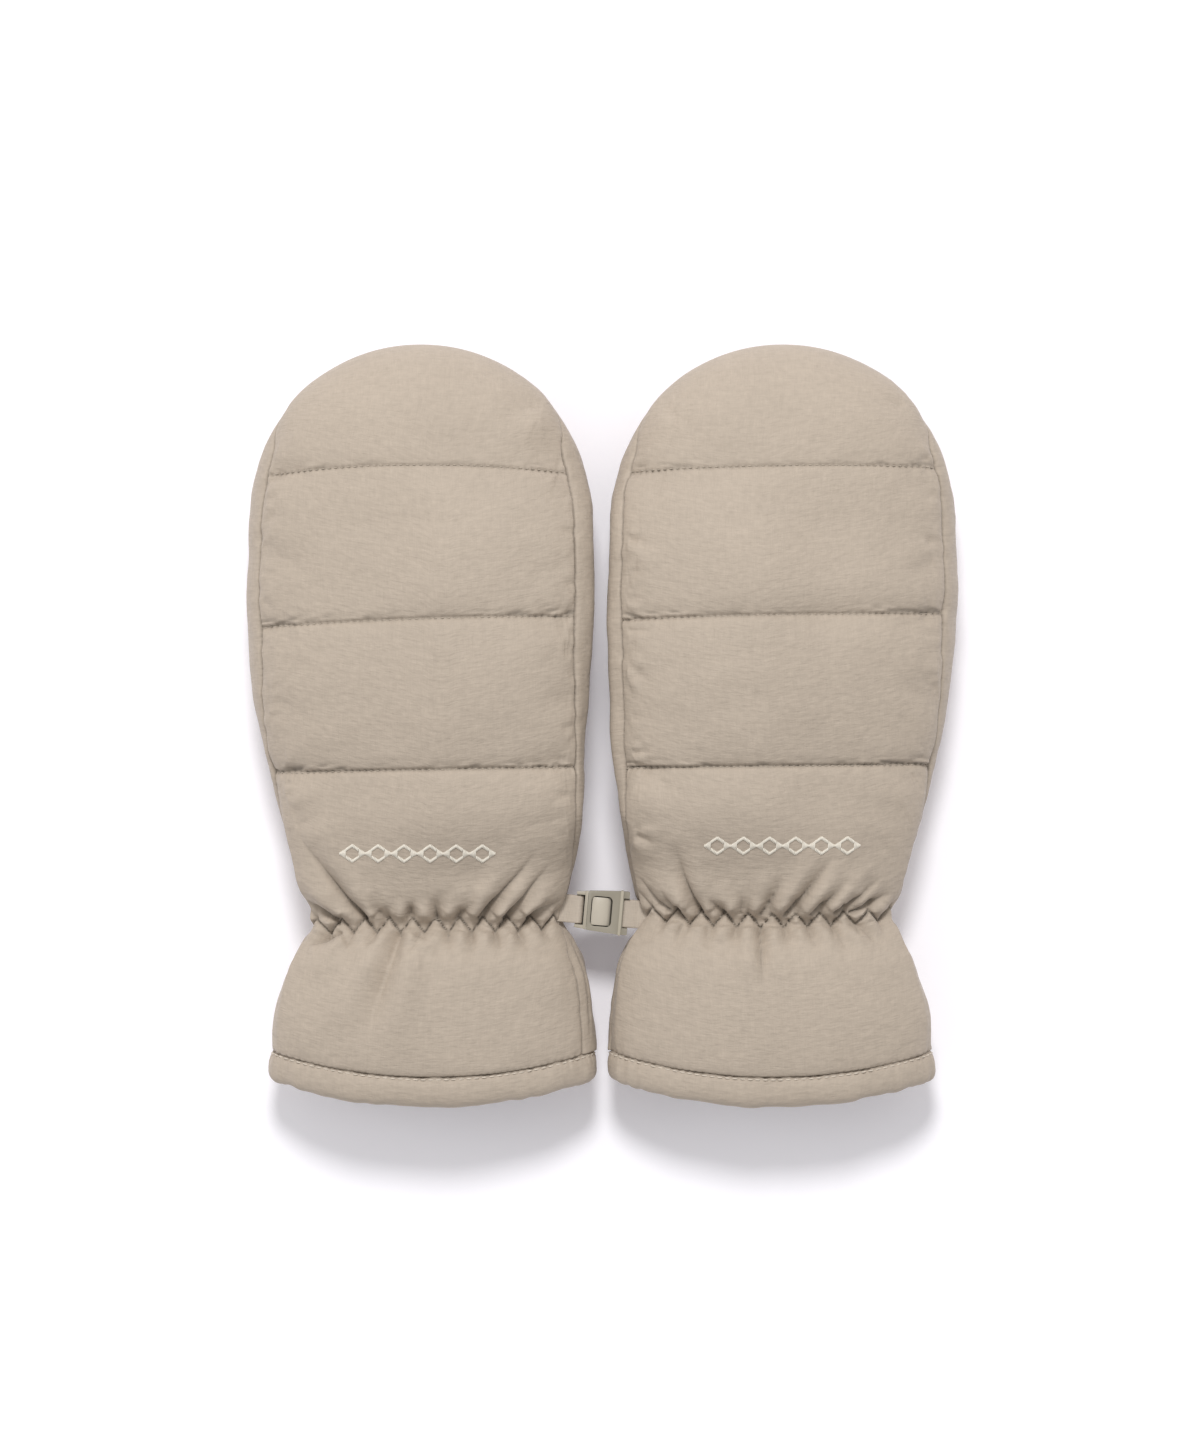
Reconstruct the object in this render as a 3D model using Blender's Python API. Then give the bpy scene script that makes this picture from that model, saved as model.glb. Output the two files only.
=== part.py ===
"""A pair of quilted ski mittens lying palm down, clipped together at the wrists by a small buckle.

+Z is up, +Y points to the fingertips, and the right mitten is at +X. The origin is the middle of the
pair's footprint, on the surface that it lies on. All sizes are in metres. One mitten is described, the
right one, in a frame with y = 0 on the wrist elastic, and the left one is its mirror image.
"""

import math

import bmesh
import bpy
from mathutils import Matrix, Vector

# Hand and cuff: y, half width, middle x, back z, palm z, widest z. The elastic draws in the wrist at y = 0.
STATIONS = (
    (-0.058, 0.0588, 0.0605, 0.040, -0.0030, 0.020),
    (-0.036, 0.0572, 0.0598, 0.042, -0.0025, 0.020),
    (-0.018, 0.0532, 0.0588, 0.040, -0.0005, 0.019),
    (-0.008, 0.0490, 0.0586, 0.036, 0.0010, 0.018),
    (0.000, 0.0462, 0.0588, 0.034, 0.0020, 0.018),
    (0.012, 0.0482, 0.0592, 0.038, 0.0010, 0.019),
    (0.035, 0.0535, 0.0605, 0.045, -0.0020, 0.020),
    (0.075, 0.0596, 0.0638, 0.050, -0.0040, 0.021),
    (0.110, 0.0622, 0.0646, 0.051, -0.0040, 0.021),
    (0.139, 0.0615, 0.0647, 0.048, -0.0030, 0.020),
)
HEM_Y = STATIONS[0][0]
FOCUS_Y = STATIONS[-1][0]  # above this the outline is the round fingertip end
TIP_LENGTH = 0.066
TIP_DROP = 0.003  # how far the widest line falls towards the fingertips
OUTLINE_POWER = 2.15
SECTION_POWER = 2.3
HEM_ARC = 0.0085  # the back of the cuff is cut longer in the middle
HEM_BAND = 0.011
SHELL_START_Y = HEM_Y + HEM_BAND + 0.0005

# Layers, as depths below the outer surface
SHELL = (0.0, 0.0008)
PADDING = (0.0013, 0.0060)
LINING = (0.0065, 0.0078)
HEM = (0.0, 0.0078)
ELASTIC = (0.0013, 0.0023)
PADDING_OVER_ELASTIC = 0.0030
ELASTIC_HALF_WIDTH = 0.0040
ELASTIC_GROOVE = 0.0048
GROOVE_SLOPE = 0.0006

# Panel edges, as angles up from the widest line
BACK_SEAM_HAND = 33.0
BACK_SEAM_WRIST = 13.0
BACK_SEAM_CUFF = 24.0
BACK_SEAM_TIP = -10.0
PALM_SEAM = -38.0
SEAM_GAP = 0.6

# Thumb, folded flat under the palm
THUMB_X = 0.0310
THUMB_HALF_WIDTH = 0.0220
THUMB_START_Y = 0.0400
THUMB_END_Y = 0.1320
THUMB_HEIGHT = 0.0210
THUMB_HINGE_Y = 0.0780
THUMB_HINGE_Z = 0.0005
THUMB_CUT = 0.0010  # from the hinge line to each half
THUMB_SHELL = (0.0, 0.0008)
THUMB_PADDING = (0.0012, 0.0034)
THUMB_LINING = (0.0038, 0.0048)
PALM_LIFT = 0.0225  # how far the folded thumb raises the palm
THUMB_HOLE_Y = 0.0590
THUMB_HOLE_HALF = (0.0140, 0.0125)

# Sewn lines and trim on the back
QUILT_LINES_Y = (0.0530, 0.1065, 0.1610)
QUILT_RISE = 0.0040
ZIGZAG_PITCH = 0.0085
ZIGZAG_HEIGHT = 0.0052
THREAD_RADIUS = 0.0004
THREAD_CLEARANCE = 0.0011
QUILT_END = 0.0065
ZIGZAG_END = 0.0030
MOTIF_Y = 0.0250
MOTIF_DIAMONDS = 6
MOTIF_DIAMOND = (0.0092, 0.0070)
MOTIF_BRIDGE = 0.0010
MOTIF_CLEARANCES = (0.0012, 0.0005)

# Buckle, in its own frame: x along the pull, y across, z up
BUCKLE_Y = 0.0025
BUCKLE_Z = 0.0215
BUCKLE_YAW = math.radians(-5.0)
BUCKLE_HALF_WIDTH = 0.00775
BUCKLE_HALF_HEIGHT = 0.0032
BUCKLE_END = 0.0095
BAR_X = 0.0086
BAR_RADIUS = 0.0007
RAIL_INNER = 0.00535
MOUTH_X = -0.0052
CHANNEL_END = 0.0055
END_WALL = 0.0064
CHANNEL_HALF_WIDTH = 0.00645
CHANNEL_Z = (-0.0024, 0.0020)
WINDOW_X = (-0.0040, 0.0035)
WINDOW_HALF_WIDTH = 0.00535
SHOULDER_X = (-0.0064, -0.0055)
PRONG_HALF = (0.0053, 0.0062)
TONGUE_ROOT = (0.0041, -0.0006)
WEBBING = 0.0009
WEBBING_HALF_WIDTH = 0.0050
WEBBING_LOOP = 0.00145
TAIL_END = 0.0168

FABRIC = (0.49, 0.42, 0.34)
FLEECE = (0.40, 0.35, 0.29)
WADDING = (0.86, 0.85, 0.82)
PLASTIC = (0.40, 0.37, 0.28)
THREAD = (0.34, 0.29, 0.23)
EMBROIDERY = (0.78, 0.73, 0.65)

ORIGIN_Y = (FOCUS_Y + TIP_LENGTH + HEM_Y - HEM_ARC) / 2


def clear_scene():
    for obj in list(bpy.data.objects):
        bpy.data.objects.remove(obj)


def material(name, colour, roughness, metallic=0.0):
    made = bpy.data.materials.new(name)
    made.use_nodes = True
    shader = made.node_tree.nodes["Principled BSDF"]
    shader.inputs["Base Color"].default_value = (*colour, 1.0)
    shader.inputs["Roughness"].default_value = roughness
    shader.inputs["Metallic"].default_value = metallic
    return made


def smooth(t):
    t = min(1.0, max(0.0, t))
    return t * t * (3 - 2 * t)


def station(y):
    """Half width, middle x, back z, palm z and widest z at y, on a cubic through the stations."""
    last = len(STATIONS) - 2
    i = next((k for k in range(last) if y < STATIONS[k + 1][0]), last)
    a, b = STATIONS[i], STATIONS[i + 1]
    before, after = STATIONS[max(i - 1, 0)], STATIONS[min(i + 2, last + 1)]
    span = b[0] - a[0]
    t = (y - a[0]) / span
    values = []
    for k in range(1, 6):
        start = (b[k] - before[k]) / (b[0] - before[0]) * span
        end = (after[k] - a[k]) / (after[0] - a[0]) * span
        values.append(
            (2 * t**3 - 3 * t**2 + 1) * a[k]
            + (t**3 - 2 * t**2 + t) * start
            + (3 * t**2 - 2 * t**3) * b[k]
            + (t**3 - t**2) * end
        )
    return values


class Row:
    """One cut from the mitten's middle line out to its edge, and the seam angle there."""

    def __init__(self, spine, rim, back, palm, widest, seam):
        self.spine = Vector(spine)
        self.rim = Vector(rim)
        self.back, self.palm, self.widest = back, palm, widest
        self.seam = seam


def side_seam(y):
    """The angle of the seam between back panel and gusset along the straight sides."""
    if y < 0:
        return BACK_SEAM_WRIST + (BACK_SEAM_CUFF - BACK_SEAM_WRIST) * smooth(-y / 0.03)
    return BACK_SEAM_WRIST + (BACK_SEAM_HAND - BACK_SEAM_WRIST) * smooth(y / 0.07)


def tip_seam(round_tip):
    """The same angle round the fingertips, where it drops out of sight. round_tip is 1 at the middle."""
    return BACK_SEAM_HAND + (BACK_SEAM_TIP - BACK_SEAM_HAND) * smooth(round_tip * 1.1)


def side_row(y, way):
    """A row on the thumb side (way -1) or the little finger side (way 1)."""
    half_width, middle, back, palm, widest = station(y)
    return Row((middle, y), (way * half_width, 0), back, palm, widest, side_seam(y))


def tip_row(turn):
    """A row of the fingertip end, turned from the thumb side (0) to the little finger side (pi)."""
    half_width, middle, back, palm, widest = station(FOCUS_Y)
    power = 2 / OUTLINE_POWER
    across = -math.copysign(abs(math.cos(turn)) ** power, math.cos(turn)) * half_width
    along = math.sin(turn) ** power * TIP_LENGTH
    widest -= TIP_DROP * math.sin(turn) ** 2
    seam = tip_seam(math.sin(turn))
    return Row((middle, FOCUS_Y), (across, along), back, palm, widest, seam)


def rows_of(side_ys, tip_steps):
    inner = [side_row(y, -1) for y in side_ys]
    tip = [tip_row(math.pi * k / tip_steps) for k in range(1, tip_steps)]
    outer = [side_row(y, 1) for y in reversed(side_ys)]
    return inner + tip + outer


def palm_lift(x, y):
    """How far the folded thumb raises the palm side at this place."""
    across = 1 - smooth((x - 0.053) / 0.030)
    along = smooth((y - 0.014) / 0.026) * (1 - smooth((y - 0.131) / 0.036))
    return PALM_LIFT * across * along


def skin_point(row, angle, depth):
    """A point of the mitten's skin, angle degrees above its widest line, depth below the surface."""
    power = 2 / SECTION_POWER
    radians = math.radians(angle)
    outward = max(0.0, math.cos(radians)) ** power
    upward = abs(math.sin(radians)) ** power
    surface = row.spine + row.rim * outward
    inside = row.spine + row.rim * outward * (1 - depth / row.rim.length)
    height = row.back - row.widest if angle >= 0 else row.palm - row.widest
    surface_z = max(0.0, row.widest + height * upward)
    z = row.widest + (height - math.copysign(depth, height)) * upward
    lift = palm_lift(*surface) * (1 - 0.8 * min(1.0, surface_z / row.back))
    arc = HEM_ARC * upward * smooth((-0.012 - inside.y) / 0.034) if angle > 0 else 0.0
    return Vector((inside.x, inside.y - arc, max(z, depth) + lift))


class Maker:
    """Builds named solids of one mitten, mirrored for the left hand."""

    def __init__(self, prefix, way):
        self.prefix = prefix
        self.way = way

    def place(self, point):
        return Vector((self.way * point.x, point.y - ORIGIN_Y, point.z))

    def named(self, name):
        return f"{self.prefix}_{name}"


def finish_mesh(name, mesh_data, surface, merge=1e-6):
    bmesh.ops.remove_doubles(mesh_data, verts=mesh_data.verts, dist=merge)
    bmesh.ops.recalc_face_normals(mesh_data, faces=mesh_data.faces)
    mesh = bpy.data.meshes.new(name)
    mesh_data.to_mesh(mesh)
    mesh_data.free()
    mesh.shade_smooth()
    mesh.set_sharp_from_angle(angle=math.radians(40))
    obj = bpy.data.objects.new(name, mesh)
    bpy.context.scene.collection.objects.link(obj)
    obj.data.materials.append(surface)
    return obj


def add_quad(mesh_data, a, b, c, d):
    """Two triangles that meet along a to c, so that neighbouring layers fold the same way."""
    mesh_data.faces.new((a, b, c))
    mesh_data.faces.new((a, c, d))


def sheet_solid(name, outer, inner, surface, open_last=True, ring=False):
    """A closed sheet between two grids of points. open_last walls the last column of each row, where it is
    a free edge and not the spine. ring joins the last row to the first."""
    mesh_data = bmesh.new()
    grids = [[[mesh_data.verts.new(p) for p in row] for row in grid] for grid in (outer, inner)]
    count, width = len(outer), len(outer[0])
    for i in range(count if ring else count - 1):
        j = (i + 1) % count
        for grid in grids:
            for k in range(width - 1):
                add_quad(mesh_data, grid[i][k], grid[j][k], grid[j][k + 1], grid[i][k + 1])
        for k in (0, width - 1) if open_last else (0,):
            add_quad(mesh_data, grids[0][i][k], grids[0][j][k], grids[1][j][k], grids[1][i][k])
    for i in () if ring else (0, count - 1):
        for k in range(width - 1):
            a, b = grids[0][i], grids[1][i]
            add_quad(mesh_data, a[k], a[k + 1], b[k + 1], b[k])
    return finish_mesh(name, mesh_data, surface)


def angles_between(start, end, steps):
    return [start + (end - start) * k / steps for k in range(steps + 1)]


def skin_panel(maker, name, surface, rows, layer, angles, groove=None):
    """A panel over all rows, between two depths, at the angles that are given for each row."""
    grids = []
    for number, depth in enumerate(layer):
        grid = []
        for row in rows:
            deep = groove(row, depth) if groove and number == 0 else depth
            grid.append([maker.place(skin_point(row, angle, deep)) for angle in angles(row)])
        grids.append(grid)
    reaches_spine = abs(angles(rows[0])[-1]) == 90
    return sheet_solid(maker.named(name), *grids, surface, open_last=not reaches_spine)


CUFF_YS = (SHELL_START_Y, -0.032, -0.018, -ELASTIC_GROOVE)
HAND_YS = (ELASTIC_GROOVE, 0.014, 0.034, 0.056, 0.080, 0.108, FOCUS_Y)
SHELL_YS = CUFF_YS + HAND_YS
PADDING_YS = (
    *CUFF_YS[:-1],
    -ELASTIC_GROOVE - GROOVE_SLOPE,
    -ELASTIC_GROOVE,
    ELASTIC_GROOVE,
    ELASTIC_GROOVE + GROOVE_SLOPE,
    *HAND_YS[1:],
)
TIP_STEPS = 8


def back_angles(row):
    return angles_between(row.seam + SEAM_GAP, 90, 4)


def gusset_angles(row):
    return angles_between(row.seam - SEAM_GAP, PALM_SEAM + SEAM_GAP, 3)


def palm_angles(row):
    return angles_between(PALM_SEAM - SEAM_GAP, -90, 3)


def under_angles(row):
    """The gusset and the palm together, as the padding and the lining cover them in one piece."""
    return gusset_angles(row) + palm_angles(row)


def elastic_groove(row, depth):
    """The padding lies deeper where the wrist elastic passes over it."""
    over_elastic = abs(row.spine.y) <= ELASTIC_GROOVE + 1e-6 and row.rim.y == 0
    return PADDING_OVER_ELASTIC if over_elastic else depth


def make_panels(maker, fabric, wadding, fleece):
    """The sewn panels of the outer shell, the wadding under them and the lining bag."""
    rows = rows_of(SHELL_YS, TIP_STEPS)
    padding_rows = rows_of(PADDING_YS, TIP_STEPS)
    return {
        "back": skin_panel(maker, "back_shell", fabric, rows, SHELL, back_angles),
        "gusset": skin_panel(maker, "side_gusset", fabric, rows, SHELL, gusset_angles),
        "palm": skin_panel(maker, "palm_shell", fabric, rows, SHELL, palm_angles),
        "back_wadding": skin_panel(
            maker, "back_padding", wadding, padding_rows, PADDING, back_angles, elastic_groove
        ),
        "palm_wadding": skin_panel(
            maker, "palm_padding", wadding, padding_rows, PADDING, under_angles
        ),
        "back_lining": skin_panel(maker, "back_lining", fleece, rows, LINING, back_angles),
        "palm_lining": skin_panel(maker, "palm_lining", fleece, rows, LINING, under_angles),
    }


def make_hem(maker, fabric):
    """The padded band round the cuff's mouth. It holds the ends of every layer."""
    cut_row = side_row(HEM_Y, 1)
    angles = under_angles(cut_row)[::-1] + back_angles(cut_row)
    grids = []
    for depth in HEM:
        ring = []
        for way in (-1, 1):
            for angle in angles if way < 0 else reversed(angles):
                if way > 0 and abs(angle) == 90:
                    continue
                ring.append(
                    [
                        maker.place(skin_point(side_row(y, way), angle, depth))
                        for y in (HEM_Y, HEM_Y + HEM_BAND / 2, HEM_Y + HEM_BAND)
                    ]
                )
        grids.append(ring)
    return sheet_solid(maker.named("hem_band"), *grids, fabric, ring=True)


def make_elastic(maker, rubber):
    """The flat elastic sewn across the back of the wrist, under the shell."""
    grids = []
    for depth in ELASTIC:
        grid = []
        for way in (-1, 1):
            angles = back_angles(side_row(0.0, way))[1:]
            for angle in angles if way < 0 else angles[-2::-1]:
                ys = (-ELASTIC_HALF_WIDTH, ELASTIC_HALF_WIDTH)
                grid.append(
                    [maker.place(skin_point(side_row(y, way), angle, depth)) for y in ys]
                )
        grids.append(grid)
    return sheet_solid(maker.named("wrist_elastic"), *grids, rubber)


def above(panel, x, y, clearance):
    """The point that stands clear of the panel's upper surface over the place x, y of the scene."""
    _, hit, normal, _ = panel.ray_cast(Vector((x, y, 1.0)), Vector((0, 0, -1)))
    return hit + normal * clearance


def thread(name, places, panel, surface):
    """A sewn thread as a square tube that lies along the panel over the places x, y."""
    curve = bpy.data.curves.new(name, "CURVE")
    curve.dimensions = "3D"
    curve.bevel_depth = THREAD_RADIUS
    curve.bevel_resolution = 0
    curve.use_fill_caps = True
    line = curve.splines.new("POLY")
    line.points.add(len(places) - 1)
    for target, (x, y) in zip(line.points, places):
        target.co = (*above(panel, x, y, THREAD_CLEARANCE), 1)
    obj = bpy.data.objects.new(name, curve)
    bpy.context.scene.collection.objects.link(obj)
    curve.materials.append(surface)
    return obj


def back_half_width(y):
    """Half the width of the back panel as it is seen from above."""
    rise = max(0.0, (y - FOCUS_Y) / TIP_LENGTH) ** OUTLINE_POWER
    seam = tip_seam(math.sqrt(rise)) if rise else side_seam(y)
    across = math.cos(math.radians(max(0.0, seam))) ** (2 / SECTION_POWER)
    return station(min(y, FOCUS_Y))[0] * (1 - rise) ** (1 / OUTLINE_POWER) * across


def make_threads(maker, panel, surface):
    """Three quilting lines across the hand and the zigzag over the wrist elastic."""
    made = []
    steps = 14
    for number, line_y in enumerate(QUILT_LINES_Y, 1):
        middle = station(min(line_y, FOCUS_Y))[1]
        reach = back_half_width(line_y) - QUILT_END
        places = []
        for k in range(steps + 1):
            across = 2 * k / steps - 1
            y = line_y + QUILT_RISE * (0.5 - across**2)
            places.append((maker.way * (middle + across * reach), y - ORIGIN_Y))
        made.append(thread(maker.named(f"quilt_thread_{number}"), places, panel, surface))
    middle = station(0.0)[1]
    reach = back_half_width(0.0) - ZIGZAG_END
    teeth = int(2 * reach / ZIGZAG_PITCH) * 2
    places = []
    for k in range(teeth + 1):
        x = middle - reach + 2 * reach * k / teeth
        y = ZIGZAG_HEIGHT * (0.5 if k % 2 else -0.5)
        places.append((maker.way * x, y - ORIGIN_Y))
    made.append(thread(maker.named("wrist_thread"), places, panel, surface))
    return made


def make_motif(maker, panel, surface):
    """A chain of embroidered diamonds on the back, above the wrist."""
    length, height = MOTIF_DIAMOND
    middle = station(MOTIF_Y)[1]
    stops = 4 * MOTIF_DIAMONDS
    grids = []
    for clearance in MOTIF_CLEARANCES:
        grid = []
        for k in range(stops + 1):
            x = maker.way * (middle + (k / 4 - MOTIF_DIAMONDS / 2) * length)
            point = abs((k / 4) % 1 - 0.5) * 2
            half = (MOTIF_BRIDGE + (height - MOTIF_BRIDGE) * (1 - point)) / 2
            ys = (MOTIF_Y - half, MOTIF_Y, MOTIF_Y + half)
            grid.append([above(panel, x, y - ORIGIN_Y, clearance) for y in ys])
        grids.append(grid)
    return sheet_solid(maker.named("embroidered_motif"), *grids, surface)


def thumb_ring(y, depth, sides=16):
    """A cut across the thumb at y. Its ends are round, and it rests flat on z = 0."""
    middle_y = (THUMB_START_Y + THUMB_END_Y) / 2
    reach = (THUMB_END_Y - THUMB_START_Y) / 2 - depth
    power = OUTLINE_POWER
    share = min(1.0, abs(y - middle_y) / reach)
    narrow = max(0.0, 1 - share**power) ** (1 / power)
    half_width = (THUMB_HALF_WIDTH - depth) * narrow
    half_height = (THUMB_HEIGHT / 2 - depth) * max(narrow, 0.0) ** 0.8
    ring = []
    for k in range(sides):
        turn = 2 * math.pi * k / sides
        c, s = math.cos(turn), math.sin(turn)
        x = THUMB_X + half_width * math.copysign(abs(c) ** 0.75, c)
        z = THUMB_HEIGHT / 2 + half_height * math.copysign(abs(s) ** 0.75, s)
        ring.append(Vector((x, y, z)))
    return ring


def thumb_part(maker, name, layer, surface, tip):
    """A cup-shaped half of the thumb, closed at the tip or at the base and open at the hinge line."""
    mesh_data = bmesh.new()
    open_y = THUMB_HINGE_Y + (THUMB_CUT if tip else -THUMB_CUT)
    far_y = THUMB_END_Y if tip else THUMB_START_Y
    shares = (0.0, 0.35, 0.65, 0.85, 0.96)
    rims, ends = [], []
    for depth in layer:
        closed_y = far_y - depth if tip else far_y + depth
        rings = []
        for share in shares:
            y = open_y + (closed_y - open_y) * share
            rings.append([mesh_data.verts.new(maker.place(p)) for p in thumb_ring(y, depth)])
        for a, b in zip(rings, rings[1:]):
            for k in range(len(a)):
                j = (k + 1) % len(a)
                mesh_data.faces.new((a[k], a[j], b[j], b[k]))
        pole = mesh_data.verts.new(
            maker.place(Vector((THUMB_X, closed_y, THUMB_HEIGHT / 2)))
        )
        last = rings[-1]
        for k in range(len(last)):
            mesh_data.faces.new((last[k], last[(k + 1) % len(last)], pole))
        rims.append(rings[0])
        ends.append(pole)
    for k in range(len(rims[0])):
        j = (k + 1) % len(rims[0])
        mesh_data.faces.new((rims[0][k], rims[0][j], rims[1][j], rims[1][k]))
    return finish_mesh(maker.named(name), mesh_data, surface)


def make_thumb(maker, fabric, wadding, fleece):
    layers = (
        ("shell", THUMB_SHELL, fabric),
        ("padding", THUMB_PADDING, wadding),
        ("lining", THUMB_LINING, fleece),
    )
    base = [thumb_part(maker, f"thumb_base_{n}", d, s, tip=False) for n, d, s in layers]
    tip = [thumb_part(maker, f"thumb_{n}", d, s, tip=True) for n, d, s in layers]
    return base, tip


def hidden_cutter(name, mesh_data):
    bmesh.ops.recalc_face_normals(mesh_data, faces=mesh_data.faces)
    mesh = bpy.data.meshes.new(name)
    mesh_data.to_mesh(mesh)
    mesh_data.free()
    cutter = bpy.data.objects.new(name, mesh)
    bpy.context.scene.collection.objects.link(cutter)
    cutter.hide_render = True
    cutter.display_type = "WIRE"
    return cutter


def cut(obj, cutter):
    modifier = obj.modifiers.new(cutter.name, "BOOLEAN")
    modifier.operation = "DIFFERENCE"
    modifier.object = cutter
    modifier.solver = "EXACT"


def thumb_hole_cutter(maker):
    """An upright oval plug through the palm and the top of the thumb's base."""
    mesh_data = bmesh.new()
    low, high = 0.0100, 0.0345
    bmesh.ops.create_cone(
        mesh_data, segments=20, radius1=1, radius2=1, depth=high - low, cap_ends=True
    )
    bmesh.ops.scale(mesh_data, verts=mesh_data.verts, vec=(*THUMB_HOLE_HALF, 1))
    centre = maker.place(Vector((THUMB_X, THUMB_HOLE_Y, (low + high) / 2)))
    bmesh.ops.translate(mesh_data, verts=mesh_data.verts, vec=centre)
    return hidden_cutter(maker.named("thumb_hole_cutter"), mesh_data)


def box(mesh_data, x, y, z):
    """Adds a box between pairs of limits."""
    size = (x[1] - x[0], y[1] - y[0], z[1] - z[0])
    centre = ((x[0] + x[1]) / 2, (y[0] + y[1]) / 2, (z[0] + z[1]) / 2)
    made = bmesh.ops.create_cube(mesh_data, size=1)["verts"]
    bmesh.ops.scale(mesh_data, verts=made, vec=size)
    bmesh.ops.translate(mesh_data, verts=made, vec=centre)
    return made


def buckle_frame():
    turn = Matrix.Rotation(BUCKLE_YAW, 4, "Z")
    return Matrix.Translation((0, BUCKLE_Y - ORIGIN_Y, BUCKLE_Z)) @ turn


def slot_cutter(maker):
    """The gap in the side seam that the webbing's tail passes through."""
    mesh_data = bmesh.new()
    x = sorted((maker.way * 0.0100, maker.way * (TAIL_END + 0.0006)))
    half = WEBBING_HALF_WIDTH + 0.0004
    box(mesh_data, x, (-half, half), (-0.0015, 0.0015))
    bmesh.ops.transform(mesh_data, matrix=buckle_frame(), verts=mesh_data.verts)
    return hidden_cutter(maker.named("strap_slot_cutter"), mesh_data)


def make_strap(maker, surface):
    """Webbing folded round the buckle's bar, with both tails sewn into the side seam."""
    half = WEBBING / 2
    tail_z = half + 0.00012
    turns = 10
    path = [(TAIL_END, tail_z), (0.0125, tail_z), (0.0105, 0.0011)]
    for k in range(turns + 1):
        turn = math.pi * (0.5 + k / turns)
        path.append(
            (BAR_X + WEBBING_LOOP * math.cos(turn), WEBBING_LOOP * math.sin(turn))
        )
    path += [(0.0105, -0.0011), (0.0125, -tail_z), (TAIL_END, -tail_z)]
    mesh_data = bmesh.new()
    sides = []
    for i, (x, z) in enumerate(path):
        ahead = path[min(i + 1, len(path) - 1)]
        behind = path[max(i - 1, 0)]
        along = Vector((ahead[0] - behind[0], ahead[1] - behind[1])).normalized()
        across = Vector((-along.y, along.x)) * half
        corners = []
        for offset, y in ((1, -1), (1, 1), (-1, 1), (-1, -1)):
            point = (
                maker.way * (x + across.x * offset),
                WEBBING_HALF_WIDTH * y,
                z + across.y * offset,
            )
            corners.append(mesh_data.verts.new(buckle_frame() @ Vector(point)))
        sides.append(corners)
    for a, b in zip(sides, sides[1:]):
        for k in range(4):
            j = (k + 1) % 4
            mesh_data.faces.new((a[k], a[j], b[j], b[k]))
    mesh_data.faces.new(sides[0])
    mesh_data.faces.new(sides[-1])
    return finish_mesh(maker.named("strap"), mesh_data, surface)


def buckle_piece(name, boxes, cuts, surface, bars=(), bevel=0.0):
    """A moulded piece: boxes and bars joined, then boxes cut away."""
    shapes = []
    for limits in boxes:
        mesh_data = bmesh.new()
        box(mesh_data, *limits)
        if bevel:
            bmesh.ops.bevel(
                mesh_data,
                geom=mesh_data.edges[:],
                offset=bevel,
                segments=1,
                affect="EDGES",
            )
        shapes.append(mesh_data)
    for bar_x in bars:
        mesh_data = bmesh.new()
        bmesh.ops.create_cone(
            mesh_data,
            segments=12,
            radius1=BAR_RADIUS,
            radius2=BAR_RADIUS,
            depth=2 * RAIL_INNER + 0.0010,
            cap_ends=True,
        )
        turn = Matrix.Rotation(math.pi / 2, 4, "X")
        bmesh.ops.transform(mesh_data, matrix=turn, verts=mesh_data.verts)
        bmesh.ops.translate(mesh_data, verts=mesh_data.verts, vec=(bar_x, 0, 0))
        shapes.append(mesh_data)
    for mesh_data in shapes:
        bmesh.ops.transform(mesh_data, matrix=buckle_frame(), verts=mesh_data.verts)
    obj = finish_mesh(name, shapes[0], surface)
    for number, limits in enumerate(cuts):
        mesh_data = bmesh.new()
        box(mesh_data, *limits)
        bmesh.ops.transform(mesh_data, matrix=buckle_frame(), verts=mesh_data.verts)
        cut(obj, hidden_cutter(f"{name}_cut_{number}", mesh_data))
    for number, mesh_data in enumerate(shapes[1:]):
        joined = hidden_cutter(f"{name}_join_{number}", mesh_data)
        modifier = obj.modifiers.new(joined.name, "BOOLEAN")
        modifier.operation = "UNION"
        modifier.object = joined
        modifier.solver = "EXACT"
    return obj


def make_buckle(plastic):
    """The socket half on the right mitten, the plug half on the left one, and its spring latch."""
    width, height = BUCKLE_HALF_WIDTH, BUCKLE_HALF_HEIGHT
    over = 0.002
    socket = buckle_piece(
        "buckle_socket",
        [((MOUTH_X, BUCKLE_END), (-width, width), (-height, height))],
        [
            ((MOUTH_X - over, CHANNEL_END), (-CHANNEL_HALF_WIDTH, CHANNEL_HALF_WIDTH), CHANNEL_Z),
            (WINDOW_X, (-WINDOW_HALF_WIDTH, WINDOW_HALF_WIDTH), (0, height + over)),
            (
                (END_WALL, BUCKLE_END + over),
                (-RAIL_INNER, RAIL_INNER),
                (-height - over, height + over),
            ),
        ],
        plastic,
        bars=(BAR_X,),
        bevel=0.0005,
    )
    rail = ((-BUCKLE_END, SHOULDER_X[0] + 0.0003), None, (-0.0024, 0.0026))
    prong = ((SHOULDER_X[1] - 0.0004, 0.0051), None, (-0.0016, 0.0012))
    boxes = [((SHOULDER_X[0], SHOULDER_X[1]), (-width, width), (-0.0026, 0.0028))]
    for way in (-1, 1):
        rail_y = sorted((way * RAIL_INNER, way * (width - 0.0002)))
        prong_y = sorted((way * PRONG_HALF[0], way * PRONG_HALF[1]))
        boxes.append((rail[0], rail_y, rail[2]))
        boxes.append((prong[0], prong_y, prong[2]))
    tie_half = (PRONG_HALF[0] + PRONG_HALF[1]) / 2
    boxes.append(((0.0044, 0.0049), (-tie_half, tie_half), (-0.0013, 0.0006)))
    plug = buckle_piece("buckle_plug", boxes, [], plastic, bars=(-BAR_X,))
    return socket, plug, make_latch(plastic)


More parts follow.
